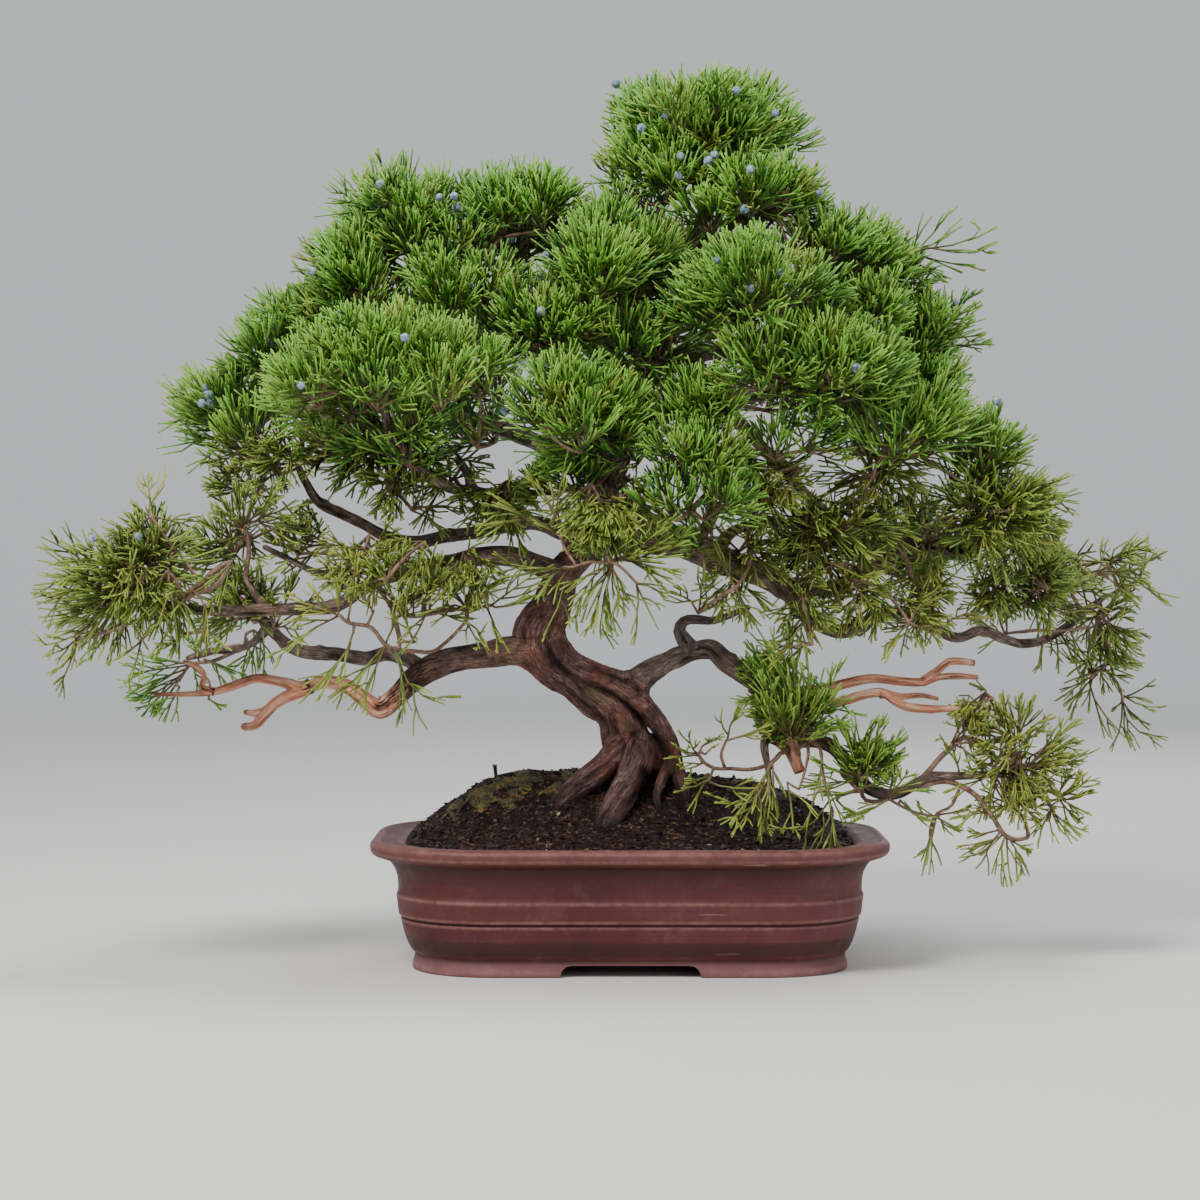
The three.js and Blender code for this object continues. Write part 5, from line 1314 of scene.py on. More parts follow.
# The tone of lines that change evenly along their length, each given as a number or as one for every line
def toneRows(alongStart, alongEnd, tint, yellow, woodStart, woodEnd, points, count=1):
    t = np.linspace(0, 1, points)
    rows = [np.broadcast_to(v, count)[:, None] for v in (alongStart, alongEnd, tint, yellow, woodStart, woodEnd)]
    along = rows[0] * (1 - t) + rows[1] * t
    wood = rows[4] * (1 - t) + rows[5] * t
    return np.stack(np.broadcast_arrays(along, rows[2], rows[3], np.clip(wood, 0, 1)), axis=-1)


# One spray: a stem and the long cords that leave it on both sides, bend forward and end near one front.
# A fine one is a placed sprig, the others belong to plumes, and the plain ones inside them have fewer points
def addSpray(store, base, control, tip, flat, yellow, depth, sideCount, woody=0.5, fine=True, plain=False,
             rise=0.0):
    radius = twigValues["radius"] * (1.25 if plain else 1.0)
    if rng.random() < twigValues["yellowSprays"]:
        yellow = min(yellow + 0.3, 0.8)
    first, last = unit(control - base), unit(tip - control)
    length = np.linalg.norm(control - base) + np.linalg.norm(tip - control)
    tintBase = rng.uniform(0.15, 0.85)
    rings = 4 if fine else 3
    stemTaper = np.interp(np.linspace(0, 1, rings), [0, 0.5, 1], [1.16, 1.0, 0.82])[None]
    tone = toneRows(0.26 - 0.22 * depth, 0.86 - 0.3 * depth, tintBase, yellow, woody, -0.6, rings)
    store.add(arcs(base[None], control[None], tip[None], rings), stemTaper * radius, tone)
    if sideCount == 0:
        return
    first0, last0 = (0.14, 0.88) if fine else (0.03, 0.70)
    t = np.sort(np.linspace(first0, last0, sideCount) + rng.uniform(-0.05, 0.05, sideCount))
    if sideCount < 3:
        t = np.sort(rng.uniform(0.25, 0.75, sideCount))
    at = (1 - t)[:, None] ** 2 * base + (2 * t * (1 - t))[:, None] * control + (t * t)[:, None] * tip
    heading = unit((1 - t)[:, None] * first + t[:, None] * last)
    across = unit(np.cross(heading, np.cross(flat, heading)))
    out = np.cross(heading, across)
    sign = np.where(np.arange(sideCount) % 2 == 0, 1.0, -1.0) * rng.choice([-1.0, 1.0])
    tilt = rng.normal(0, 0.42 if fine else 0.60, sideCount)
    lean = across * (sign * np.cos(tilt))[:, None] + out * np.sin(tilt)[:, None]
    start = np.radians(rng.uniform(*twigValues["sideAngle" if fine else "plumeAngle"], sideCount))[:, None]
    end = np.radians(rng.uniform(*twigValues["endAngle"], sideCount))[:, None] * (1 if fine else 0.5)
    firstDir = unit(heading * np.cos(start) + lean * np.sin(start) - np.array([0.0, 0.0, rise * 0.5]))
    lastDir = unit(heading * np.cos(end) + lean * np.sin(end) + 0.25 * (last - heading)
                   + np.array([0.0, 0.0, rise]) + rng.normal(0, 0.10 if fine else 0.22, (sideCount, 3)))
    sideLength = length * ((0.66 if fine else 0.92) * (1 - t) + (0.20 if fine else 0.14))
    sideLength = np.minimum(sideLength * rng.uniform(0.72, 1.12, sideCount), twigValues["longest"][0 if fine else 1])
    path = bend(at, firstDir, lastDir, sideLength, 4 if fine else 2 if plain else 3)
    tint = np.clip(tintBase + rng.normal(0, 0.16, sideCount), 0, 1)
    yellows = np.clip(yellow + rng.normal(0, 0.05, sideCount) + 0.35 * (rng.random(sideCount) < 0.03), 0, 1)
    tone = toneRows(0.28 - 0.25 * depth, 0.98 - 0.4 * depth, tint, yellows, woody * 0.6 - 0.5 * t, -0.5,
                    path.shape[1], sideCount)
    taper = np.interp(np.linspace(0, 1, path.shape[1]), [0, 0.6, 1], [0.98, 0.96, 0.86])
    store.add(path, np.tile(taper * radius, (sideCount, 1)), tone)
    if plain:
        return
    # every side cord forks once
    u = rng.uniform(*((0.16, 0.66) if fine else (0.04, 0.48)), sideCount)
    spans = path.shape[1] - 1
    k = np.minimum((u * spans).astype(int), spans - 1)
    f = (u * spans - k)[:, None]
    rows = np.arange(sideCount)
    origin = path[rows, k] * (1 - f) + path[rows, k + 1] * f
    ahead = unit(path[rows, k + 1] - path[rows, k]) if fine else unit(path[:, -1] - origin)
    forkSide = lean * rng.choice([-1.0, 1.0], sideCount)[:, None] + rng.normal(0, 0.45, (sideCount, 3))
    forkSide = unit(forkSide - ahead * np.sum(forkSide * ahead, axis=1)[:, None])
    leave = np.radians(rng.uniform(*((22, 38) if fine else (14, 34)), sideCount))[:, None]
    finalTurn = np.radians(rng.uniform(3, 14, sideCount))[:, None]
    forkLength = sideLength * (1.0 - u) * rng.uniform(0.72, 1.08, sideCount) + 1.5 * mm
    forkPath = bend(origin, ahead * np.cos(leave) + forkSide * np.sin(leave),
                    ahead * np.cos(finalTurn) + forkSide * np.sin(finalTurn), forkLength, 3 if fine else 2)
    tone = toneRows(0.28 + 0.5 * u - 0.25 * depth, 0.98 - 0.4 * depth, tint, yellows, 0, 0, forkPath.shape[1],
                    sideCount)
    taper = np.array([0.92, 0.88, 0.74]) if fine else np.array([0.92, 0.82])
    store.add(forkPath, np.tile(taper * radius, (sideCount, 1)), tone)


# A thin brown shoot between two places
def addShoot(store, start, end, radii, sag, sides=4, woodEnd=1.0, points=5):
    path = arcs(start[None], ((start + end) / 2 + sag)[None], end[None], points)
    tone = toneRows(0.3, 0.4, rng.uniform(0.2, 0.8), 0, 1, woodEnd, points)
    store.add(path, np.linspace(radii[0], radii[1], points)[None], tone, sides=sides)
    return path[0]


def nearestSpot(spots, place):
    gaps = np.linalg.norm(np.array(spots) - place, axis=1)
    return spots[int(np.argmin(gaps))], gaps.min()


# How deep a point lies in the other masses: 0 at their outside, 1 at their middle
def otherMassDepth(index, point):
    local = (point - massCentres) / massHalves
    depth = 1 - np.sqrt(np.sum(local * local, axis=1))
    depth[index] = 0.0
    return max(float(depth.max()), 0.0)


# One plume: a stalk from the nearest wood, and sprays that fan out from its end
def addPlume(store, name, index, tip, growth, normal, spots, inner, scale):
    row = padPlan[name]
    habit, lift, yellow = habits[massHabits[index]], row[6], row[7]
    if massHabits[index] == "airy":
        lift, yellow = min(lift, 0.0), yellow + 0.04
    reach = rng.uniform(*habit["length"]) * mm * scale
    origin = tip - growth * (reach * 1.06 + twigValues["stalk"])
    nearest, gap = nearestSpot(spots, origin)
    big, small = twigValues["branchletRadius"]
    if gap > 3 * mm:
        sag = rng.normal(0, 1, 3) * gap * 0.10 + up * gap * rng.uniform(-0.12, 0.10)
        thick = np.interp(gap, [0.01, 0.12], [small * 1.1, big])
        path = addShoot(store, nearest, origin, (thick, small), sag, sides=5)
        spots.extend(list(path[1:]))
    sprays = 5 if inner else max(int(round(habit["sprays"] * rng.uniform(0.75, 1.2))), 3)
    for k in range(sprays):
        swing = radians(habit["spread"]) * sqrt((k + 0.5) / sprays)
        turn = k * 2.39996 + rng.uniform(-0.4, 0.4)
        side = unit(np.cross(growth, np.eye(3)[np.argmin(np.abs(growth))]))
        other = np.cross(growth, side)
        heading = unit(growth * cos(swing) + (side * cos(turn) + other * sin(turn)) * sin(swing))
        base = origin + unit(heading + growth * 0.4) * rng.uniform(0.6, 1.25) * twigValues["stalk"]
        length = reach * rng.uniform(0.78, 1.0)
        bent = unit(heading * 0.70 + growth * 0.30 + up * (lift * 0.75 - habit["droop"] * 1.1))
        # Sprays deep in other masses and inner plumes are painted darker: older growth and painted shade
        depth = float(np.clip(0.05 + otherMassDepth(index, base + heading * length) * 2.2 + 0.6 * inner, 0, 1))
        across = np.cross(heading, normal)
        if np.linalg.norm(across) < 0.2:
            across = np.cross(heading, rng.normal(0, 1, 3))
        flat = unit(unit(across) + rng.normal(0, 0.55, 3))
        addShoot(store, origin, base, (small * 0.92, twigValues["stemRadius"]), rng.normal(0, 1.2 * mm, 3),
                 sides=3, woodEnd=0.55, points=2)
        control = base + heading * length / 2
        sprayYellow = float(np.clip(yellow + rng.normal(0, 0.06), 0, 0.8))
        addSpray(store, base, control, control + bent * length / 2, flat, sprayYellow, depth,
                 4 if inner else habit["cords"], fine=False, plain=inner, rise=lift * 0.45)


# Plumes all over a mass's outside, and some further in, nearest to the wood first
def growMass(store, index, spots):
    name, entry = masses[index]
    row = padPlan[name]
    habit = habits[massHabits[index]]
    centre, half = massCentres[index], massHalves[index]
    low = centre - up * half[2] * 0.55
    plumes = []
    for inner, shrink in ((False, 1.0), (True, 0.58)):
        spacing = habit["spacing"] * mm * (1.0 if not inner else 1.1)
        for ball in shellPoints(half * shrink, spacing):
            place = ball * half * shrink
            wobble = 0.945 + 0.26 * noise.noise(Vector((centre + place) * 15.0)) + rng.uniform(-0.13, 0.05)
            tip = centre + place * min(wobble, 1.03)
            outward = unit(tip - crownHeart)
            normal = unit(ball / half)
            if otherMassDepth(index, tip) > (0.10 if not inner else 0.30):
                continue
            if ball[2] < -0.25 and rng.random() > habit["under"]:
                continue
            if massHabits[index] in ("dense", "back") and np.dot(normal, outward) < -0.25:
                continue
            if inner and rng.random() > habit["inner"]:
                continue
            growth = unit(normal * 0.40 + outward * 0.30 + unit(tip - low) * 0.40
                          + up * (row[6] - habit["droop"] * 0.5) + rng.normal(0, 0.20, 3))
            plumes.append((tip, growth, normal, inner))
    plumes.sort(key=lambda p: min(np.linalg.norm(p[0] - q) for q in spots))
    scale = min(1.0, (half.min() * 1.15 + 0.016) / 0.070)
    for tip, growth, normal, inner in plumes:
        addPlume(store, name, index, tip, growth, normal, spots, inner, scale)


def addBranchlet(store, entries, spots):
    centres, radii, _ = runOf(entries, 5 * mm)
    wander = np.stack([noiseAt(centres, 60.0, (k * 7.0, 0, 0)) for k in range(3)], axis=1) * 1.1 * mm
    tone = toneRows(0.3, 0.4, rng.uniform(0.2, 0.8), 0, 1, 1, len(centres))
    store.add((centres + wander)[None], radii[None], tone, sides=6)
    spots.extend(list(centres))


def addSprig(store, name, baseY, tipY, entry, spots):
    baseX, baseZ, midX, midZ, tipX, tipZ, cords = entry
    swing = rng.normal(0, 9.0)
    base = sight([baseX, baseZ, baseY + rng.normal(0, 3.0)])
    tip = sight([tipX, tipZ, tipY + swing])
    control = sight([midX, midZ, (baseY + tipY) / 2 + swing * 0.4])
    control = control + (control - (base + tip) / 2) * 0.6
    nearest, gap = nearestSpot(spots, base)
    if gap > 1.5 * mm:
        path = addShoot(store, nearest, base, (1.5 * mm, 1.1 * mm), rng.normal(0, 0.06, 3) * gap, woodEnd=0.7)
        spots.extend(list(path[1:]))
    flat = unit(np.array([0.0, -1.0, 0.0]) + rng.normal(0, 0.40, 3))
    yellow = float(np.clip(padPlan[name][7] * 1.1 + rng.normal(0, 0.07), 0, 0.7))
    addSpray(store, base, control, tip, flat, yellow, 0.0, cords, woody=0.75)


def growPad(name):
    store = TwigStore()
    centre, half = padCentres[name], padHalves[name]
    near = np.linalg.norm((carriers - centre) / half, axis=1)
    spots = [p for p in carriers[near < max(1.05, near.min() + 0.25)]]
    for entries in branchletPlan.get(name, []):
        addBranchlet(store, entries, spots)
    for index, (owner, _) in enumerate(masses):
        if owner == name:
            growMass(store, index, spots)
    for baseY, tipY, entries in sprigPlan.get(name, []):
        for entry in entries:
            addSprig(store, name, baseY, tipY, entry, spots)
    return store


pads = {}
for name in padPlan:
    mesh = growPad(name).build(name + "_twigs")
    pads[name] = pieceFrom(name + "_twigs", mesh, greenOf[slotOf[name]], [name])
    print("pad", name, triangleTally[name + "_twigs"])
print("foliage", sum(triangleTally[n + "_twigs"] for n in padPlan))

potValues = {
    "corner": (110 * mm, 45 * mm),  # middle of each rounded corner
    "clay": [(0.054, 0.011, 0.011), (0.088, 0.019, 0.018), (0.118, 0.031, 0.031)],
    "rubbed": (0.265, 0.118, 0.104),  # worn edges
    "dust": (0.255, 0.140, 0.142),
    "specks": (0.46, 0.34, 0.31),
    "scratches": (0.40, 0.25, 0.22),
    # painted shade, in the sheltered steps, under the lip and inside the wall
    "stepShade": (0.026, 0.008, 0.006),  # in the sheltered steps
    "roughness": (0.44, 0.66),
    "footGap": (46 * mm, 56 * mm, 9.6 * mm),  # half width above, half width on the ground, height
    "drainX": 80 * mm,
    "drainRadius": 11 * mm,
}
# Half width and height round the section, in millimetres, with the softness of each edge
potProfile = [
    (110, 10, 0), (154, 10, 2.0), (157, 0, 0.8), (177, 0, 1.2), (177.4, 5, 3), (174.8, 12.4, 2.4), (179.4, 17.5, 4),
    (183.4, 27, 7), (186.0, 38, 4), (186.9, 41.2, 1.0), (185.4, 42.6, 0.7), (188.4, 44.2, 1.2), (189.2, 50, 5),
    (189.9, 57, 3), (190.6, 60.2, 1.2), (189.0, 62.6, 1.6), (188.8, 70, 6), (190.2, 79, 6), (196, 88.5, 3.5),
    (209.5, 92.8, 2.4), (211.6, 96, 2), (211.8, 102, 2.2), (207, 104.9, 1.6), (203.2, 103.6, 1.6), (188, 103.2, 2.0),
    (184.5, 101, 2.2), (180, 95, 4), (176, 40, 5), (168, 24, 6), (156, 17, 4), (110, 17, 0),
]
# Where edges are worn pale, and where painted shade darkens a step: half width, height, reach, strength
wornEdges = [(211.6, 103, 3.0, 1), (207.0, 104.9, 2.2, 1), (190.6, 60.2, 1.6, 1), (188.6, 44.8, 1.2, 1),
             (211.6, 95, 1.6, 1), (177.2, 4, 3.0, 1), (186.9, 40.5, 1.2, 1), (184.5, 102, 1.6, 1)]
shadedSteps = [(185.6, 42.6, 1.5, 1), (174.8, 12.6, 2.2, 0.7)]
near = 0.00001  # points closer than this are one


# Unglazed red-brown clay: fine grit, faint turning lines, rubbed edges, pale dust and scratches, with painted shade in
# the steps, under the lip and inside the wall
def makeClay():
    finish, shader, place = freshFinish("unglazedClay")
    edge, shelterShade, dusty, _ = toneOf(finish)
    cloud = noiseNode(place, 9.0, 4.0, 0.55)
    grit = noiseNode(place, 1500.0, 3.0, 0.6)
    mottle = noiseNode(place, 120.0, 5.0, 0.6)
    lines = addNode(finish.node_tree, "Mapping", {"Vector": place, "Scale": (2.0, 2.0, 900.0)})
    wiped = noiseNode(lines.outputs["Vector"], 1.0, 2.0, 0.5)
    fired = shaded(ramp(cloud, list(zip((0.28, 0.50, 0.74), potValues["clay"]))),
                   ramp(mottle, [(0.3, 0.86), (0.7, 1.12)]), ramp(grit, [(0.3, 0.84), (0.7, 1.14)]),
                   ramp(wiped, [(0.35, 0.95), (0.65, 1.05)]))
    rubbed = mathNode('MULTIPLY', edge, ramp(mottle, [(0.35, 0.25), (0.65, 0.85)]))
    fired = mixColour(rubbed, fired, potValues["rubbed"])
    dust = ramp(noiseNode(place, 46.0, 6.0, 0.72), [(0.52, 0.0), (0.80, 0.24)])
    dust = mathNode('ADD', dust, mathNode('MULTIPLY', dusty, 0.5), clamp=True)
    fired = mixColour(dust, fired, potValues["dust"])
    speck = ramp(cellNode(place, 210.0), [(0.030, 0.75), (0.065, 0.0)])
    chance = ramp(noiseNode(place, 70.0, 2.0), [(0.54, 0.0), (0.60, 1.0)])
    fired = mixColour(mathNode('MULTIPLY', speck, chance), fired, potValues["specks"])
    scratch = addNode(finish.node_tree, "Mapping", {"Vector": place, "Rotation": (0.4, 0.5, 0.2),
                                                    "Scale": (14.0, 14.0, 260.0)})
    scored = ramp(noiseNode(scratch.outputs["Vector"], 1.0, 2.0, 0.5, 0.6), [(0.725, 0.0), (0.745, 0.45)])
    fired = mixColour(scored, fired, potValues["scratches"])
    # Painted shade: the sheltered steps, the band under the lip and the inside of the wall are darkened
    fired = mixColour(mathNode('MULTIPLY', shelterShade, 0.75), fired, potValues["stepShade"])
    low, high = potValues["roughness"]
    soft = bumpNode(wiped, 0.10, 0.0004, bumpNode(cloud, 0.25, 0.004))
    setInputs(shader, {"Base Color": fired, "Roughness": ramp(mottle, [(0.3, low), (0.7, high)]),
                       "Specular IOR Level": 0.32, "Normal": bumpNode(grit, 0.30, 0.00035, soft)})
    return finish


# The profile with each edge rounded by its own softness
def softProfile(entries):
    corners = np.array([(half, z) for half, z, _ in entries], dtype=float)
    line = [corners[0]]
    for i in range(1, len(entries) - 1):
        before, here, after = corners[i - 1], corners[i], corners[i + 1]
        soft = entries[i][2]
        backward = min(soft, np.linalg.norm(before - here) * 0.48)
        forward = min(soft, np.linalg.norm(after - here) * 0.48)
        start = here + unit(before - here) * backward
        end = here + unit(after - here) * forward
        for t in np.linspace(0, 1, 5 if soft > 1.8 else 4):
            line.append((1 - t) ** 2 * start + 2 * t * (1 - t) * here + t * t * end)
    line.append(corners[-1])
    return np.array(line)


def selectWhere(piece, test):
    bpy.ops.object.mode_set(mode='EDIT')
    bpy.ops.mesh.select_mode(type='VERT')
    bpy.ops.mesh.select_all(action='DESELECT')
    builder = bmesh.from_edit_mesh(piece.data)
    for vert in builder.verts:
        vert.select = bool(test(vert.co))
    builder.select_flush(True)
    bmesh.update_edit_mesh(piece.data)


# An empty object in edit mode, to draw a shape in
def emptyDrawing():
    bpy.ops.mesh.primitive_plane_add(size=0.01)
    bpy.ops.object.mode_set(mode='EDIT')
    bpy.ops.mesh.delete(type='VERT')
    drawing = bpy.context.active_object
    return drawing, bmesh.from_edit_mesh(drawing.data)


def closeUp(merge=True):
    bpy.ops.mesh.select_all(action='SELECT')
    if merge:
        bpy.ops.mesh.remove_doubles(threshold=near)
    bpy.ops.mesh.normals_make_consistent(inside=False)
    bpy.ops.object.mode_set(mode='OBJECT')


# The strongest of several soft spots on the section, at each half width and height
def softSpots(half, height, spots):
    rows = [strength * np.exp(-(((half - x * mm) ** 2 + (height - z * mm) ** 2) / (reach * mm) ** 2))
            for x, z, reach, strength in spots]
    return np.max(rows, axis=0)


# The pot: a quarter of a turn of the profile, straight walls to the middle, mirrored twice, cut and cleaned
def makePot():
    cornerX, cornerY = potValues["corner"]
    line = softProfile(potProfile) * mm
    pot, builder = emptyDrawing()
    pot.name = pot.data.name = "clay_pot"
    verts = [builder.verts.new((half, cornerY, z)) for half, z in line]
    for a, b in zip(verts, verts[1:]):
        builder.edges.new((a, b))
    bmesh.update_edit_mesh(pot.data)
    bpy.ops.mesh.select_all(action='SELECT')
    bpy.ops.mesh.spin(steps=18, dupli=False, angle=-pi / 2, use_normal_flip=False,
                      center=(cornerX, cornerY, 0.0), axis=(0.0, 0.0, 1.0))
    bpy.ops.mesh.select_all(action='SELECT')
    bpy.ops.mesh.remove_doubles(threshold=near)
    selectWhere(pot, lambda co: abs(co.y - cornerY) < near)
    bpy.ops.mesh.extrude_edges_move(TRANSFORM_OT_translate={"value": (0.0, -cornerY, 0.0)})
    selectWhere(pot, lambda co: abs(co.x - cornerX) < near and co.y > cornerY - near)
    bpy.ops.mesh.extrude_edges_move(TRANSFORM_OT_translate={"value": (-cornerX, 0.0, 0.0)})
    bpy.ops.object.mode_set(mode='OBJECT')
    applyModifier(pot, 'MIRROR', use_axis=(True, True, False), merge_threshold=0.00002)
    bpy.ops.object.mode_set(mode='EDIT')
    for height in (line[0][1], line[-1][1]):
        selectWhere(pot, lambda co: abs(co.z - height) < near and abs(co.x) < cornerX + near
                    and abs(co.y) < cornerY + near)
        bpy.ops.mesh.edge_face_add()
    closeUp()
    high, wide, top = potValues["footGap"]
    outline = [(-wide, -0.002), (-wide, 0.0)]
    for t in np.linspace(0.15, 1, 7):
        outline.append(((-wide * (1 - t) ** 2 - 2 * wide * t * (1 - t) * 0.99 - high * t * t),
                        2 * top * t * (1 - t) + top * t * t))
    outline += [(-x, z) for x, z in reversed(outline)]
    cutter, builder = emptyDrawing()
    builder.faces.new([builder.verts.new((x, -0.2, z)) for x, z in outline])
    bmesh.update_edit_mesh(cutter.data)
    bpy.ops.mesh.select_all(action='SELECT')
    bpy.ops.mesh.extrude_region_move(TRANSFORM_OT_translate={"value": (0.0, 0.4, 0.0)})
    closeUp(merge=False)
    cutters = [cutter]
    for side in (-1, 1):
        bpy.ops.mesh.primitive_cylinder_add(vertices=40, radius=potValues["drainRadius"], depth=0.05,
                                            location=(side * potValues["drainX"], 0.0, 0.012))
        cutters.append(bpy.context.active_object)
    for tool in cutters:
        applyModifier(pot, 'BOOLEAN', operation='DIFFERENCE', solver='EXACT', object=tool)
        bpy.data.objects.remove(tool)
    applyModifier(pot, 'BEVEL', width=0.0007, segments=2, limit_method='ANGLE', angle_limit=radians(62))
    activate(pot)
    bpy.ops.object.shade_smooth_by_angle(angle=radians(38))
    places = pointsOf(pot.data)
    outward = np.maximum(np.abs(places[:, 0]) - cornerX, 0), np.maximum(np.abs(places[:, 1]) - cornerY, 0)
    half = np.hypot(*outward) + cornerX
    height = places[:, 2]
    edges = softSpots(half, height, wornEdges)
    # Painted shade under the lip, in the steps and inside the wall
    underLipShade = np.exp(-((height - 0.0885) / 0.009) ** 2) * (half < 0.204) * (half > 0.186)
    shelterShade = np.maximum(underLipShade, softSpots(half, height, shadedSteps))
    inner = (half < 0.1835) & (height > 0.0165)
    shelterShade = np.where(inner, 0.8, shelterShade)
    dusty = (height < 0.0125) * 0.6 + np.clip((height - 0.092) / 0.01, 0, 1) * 0.12
    setTone(pot.data, np.stack([edges, shelterShade, np.where(inner, 0, dusty), np.ones(len(edges))], axis=1))
    return finishPiece(pot, makeClay(), ["pot"])


makePot()
print("pot", triangleTally["clay_pot"])

soilValues = {
    "ground": [(0.006, 0.003, 0.003), (0.018, 0.009, 0.008), (0.042, 0.021, 0.017), (0.13, 0.08, 0.05)],
    "columns": 168,
    "rows": 36,
    "rough": (1.5 * mm, 0.8 * mm),
    "crumbs": 3600,
    "shreds": 1500,
    "crumbColours": [(0.010, 0.005, 0.005), (0.026, 0.012, 0.011), (0.060, 0.028, 0.023), (0.120, 0.058, 0.038),
                     (0.330, 0.210, 0.120), (0.520, 0.420, 0.310)],
    "crumbOdds": [0.33, 0.33, 0.22, 0.09, 0.022, 0.008],
    "shredOdds": [0.14, 0.30, 0.36, 0.18, 0.015, 0.005],
}
# The mound's highest line: x and height in millimetres
crestLine = np.array([(-190, 100), (-170, 114), (-150, 129), (-125, 145), (-105, 151), (-75, 155), (-30, 157),
                      (40, 154), (100, 147), (150, 131), (170, 116), (190, 100)], dtype=float)


def moundHeight(x, y):  # millimetres, as arrays
    past = np.clip(np.abs(x) - 110, 0, 73)
    edgeY = 45 + np.sqrt(73 ** 2 - past ** 2)
    run = np.where(y < 20, edgeY + 20, edgeY - 20)
    share = np.clip(1 - np.abs(y - 20) / run, 0, 1)
    rise = (share * share * (3 - 2 * share)) ** np.where(y < 20, 2.0, 1.3)
    return 100 + (np.interp(x, crestLine[:, 0], crestLine[:, 1]) - 100) * rise


# A point on the rounded oblong of a half width, for each turn from 0 to 1, evenly along its length
def oblongPoints(turns, half):
    corner = half - 110
    arc = corner * pi / 2
    runs = np.cumsum([0, 45, arc, 220, arc, 90, arc, 220, arc, 45])
    s = turns * runs[-1]
    x, y = np.empty_like(s), np.empty_like(s)
    starts = [(half, 0), (110, 45), (110, half - 65), (-110, 45), (-half, 45), (-110, -45), (-110, 65 - half),
              (110, -45), (half, -45)]
    for index, (startX, startY) in enumerate(starts):
        on = (s >= runs[index]) & (s <= runs[index + 1] + 1e-9)
        u = s[on] - runs[index]
        turn = index // 2 * pi / 2  # straights and corners take turns, each pair a quarter further round
        if index % 2:
            x[on] = startX + corner * np.cos(turn + u / corner)
            y[on] = startY + corner * np.sin(turn + u / corner)
        else:
            x[on], y[on] = startX - u * round(sin(turn)), startY + u * round(cos(turn))
    return x, y


# Faces of a closed dome: a fan round the first point, rings outwards, and a fan to the last point below
def domeFaces(rings, columns):
    last = 1 + (rings - 1) * columns
    steps = [(k, (k + 1) % columns) for k in range(columns)]
    fan = [(0, 1 + k, 1 + n) for k, n in steps]
    return fan + ringFaces(rings, columns, 1, turned=True) + [(last + k, last + columns, last + n) for k, n in steps]


# The rough ground at each place, as points in metres; it falls a little at the pot's wall
def groundPoints(x, y):
    z = moundHeight(x, y)
    flat = np.stack([x, y, z], axis=1)
    coarse, small = soilValues["rough"]
    bumps = noiseAt(flat, 0.055) * coarse + noiseAt(flat, 0.19) * small
    edge = np.clip((183 - np.hypot(np.maximum(np.abs(x) - 110, 0), np.maximum(np.abs(y) - 45, 0)) - 110) / 6, 0, 1)
    return np.stack([x * mm, y * mm, z * mm + bumps * edge - (1 - edge) * 1.2 * mm], axis=1)


def makeSoilFinish():
    finish, shader, place = freshFinish("dampGritSoil")
    tone = attributeOf(finish, "tone")
    cells = addNode(finish.node_tree, "SeparateColor", {"Color": cellNode(place, 420.0, "Color")})
    ground = ramp(cells.outputs["Red"], list(zip((0.0, 0.55, 0.86, 0.98), soilValues["ground"])))
    fine = noiseNode(place, 700.0, 4.0, 0.65)
    colour = shaded(mixColour(tone["Alpha"], ground, tone["Color"]), ramp(fine, [(0.3, 0.6), (0.7, 1.25)]))
    normal = bumpNode(cellNode(place, 420.0), 0.8, 0.0022)
    setInputs(shader, {"Base Color": colour, "Specular IOR Level": 0.22,
                       "Roughness": ramp(noiseNode(place, 60.0, 3.0), [(0.3, 0.55), (0.7, 0.92)]),
                       "Normal": bumpNode(fine, 0.6, 0.0008, normal)})
    return finish


# Many small closed stones: one eight-faced shape stretched, turned and coloured for each place
def scatterStones(places, sizes, colours, slender=False):
    shape = np.array([(1, 0, 0), (-1, 0, 0), (0, 1, 0), (0, -1, 0), (0, 0, 1), (0, 0, -1)], dtype=float)
    faces = [(0, 2, 4), (2, 1, 4), (1, 3, 4), (3, 0, 4), (2, 0, 5), (1, 2, 5), (3, 1, 5), (0, 3, 5)]
    count = len(places)
    stretch = rng.uniform(0.6, 1.3, (count, 3))
    if slender:
        stretch = np.stack([rng.uniform(low, high, count) for low, high in ((2.2, 4.5), (0.35, 0.6), (0.35, 0.6))], 1)
    verts = shape[None] * stretch[:, None] * (1 + rng.uniform(-0.22, 0.22, (count, 6, 1))) * sizes[:, None, None]
    axisA = unit(rng.normal(0, 1, (count, 3)) * ([1, 1, 0.25] if slender else [1, 1, 1]))
    helper = unit(rng.normal(0, 1, (count, 3)))
    axisB = unit(np.cross(axisA, helper))
    axisC = np.cross(axisA, axisB)
    turned = verts[..., :1] * axisA[:, None] + verts[..., 1:2] * axisB[:, None] + verts[..., 2:] * axisC[:, None]
    points = (places[:, None] + turned).reshape(-1, 3)
    loops = (np.arange(count)[:, None] * 6 + np.array(faces).ravel()[None]).ravel()
    tones = np.repeat(np.concatenate([colours, np.ones((count, 1))], axis=1), 6, axis=0)
    return points, loops, np.full(count * 8, 3), tones


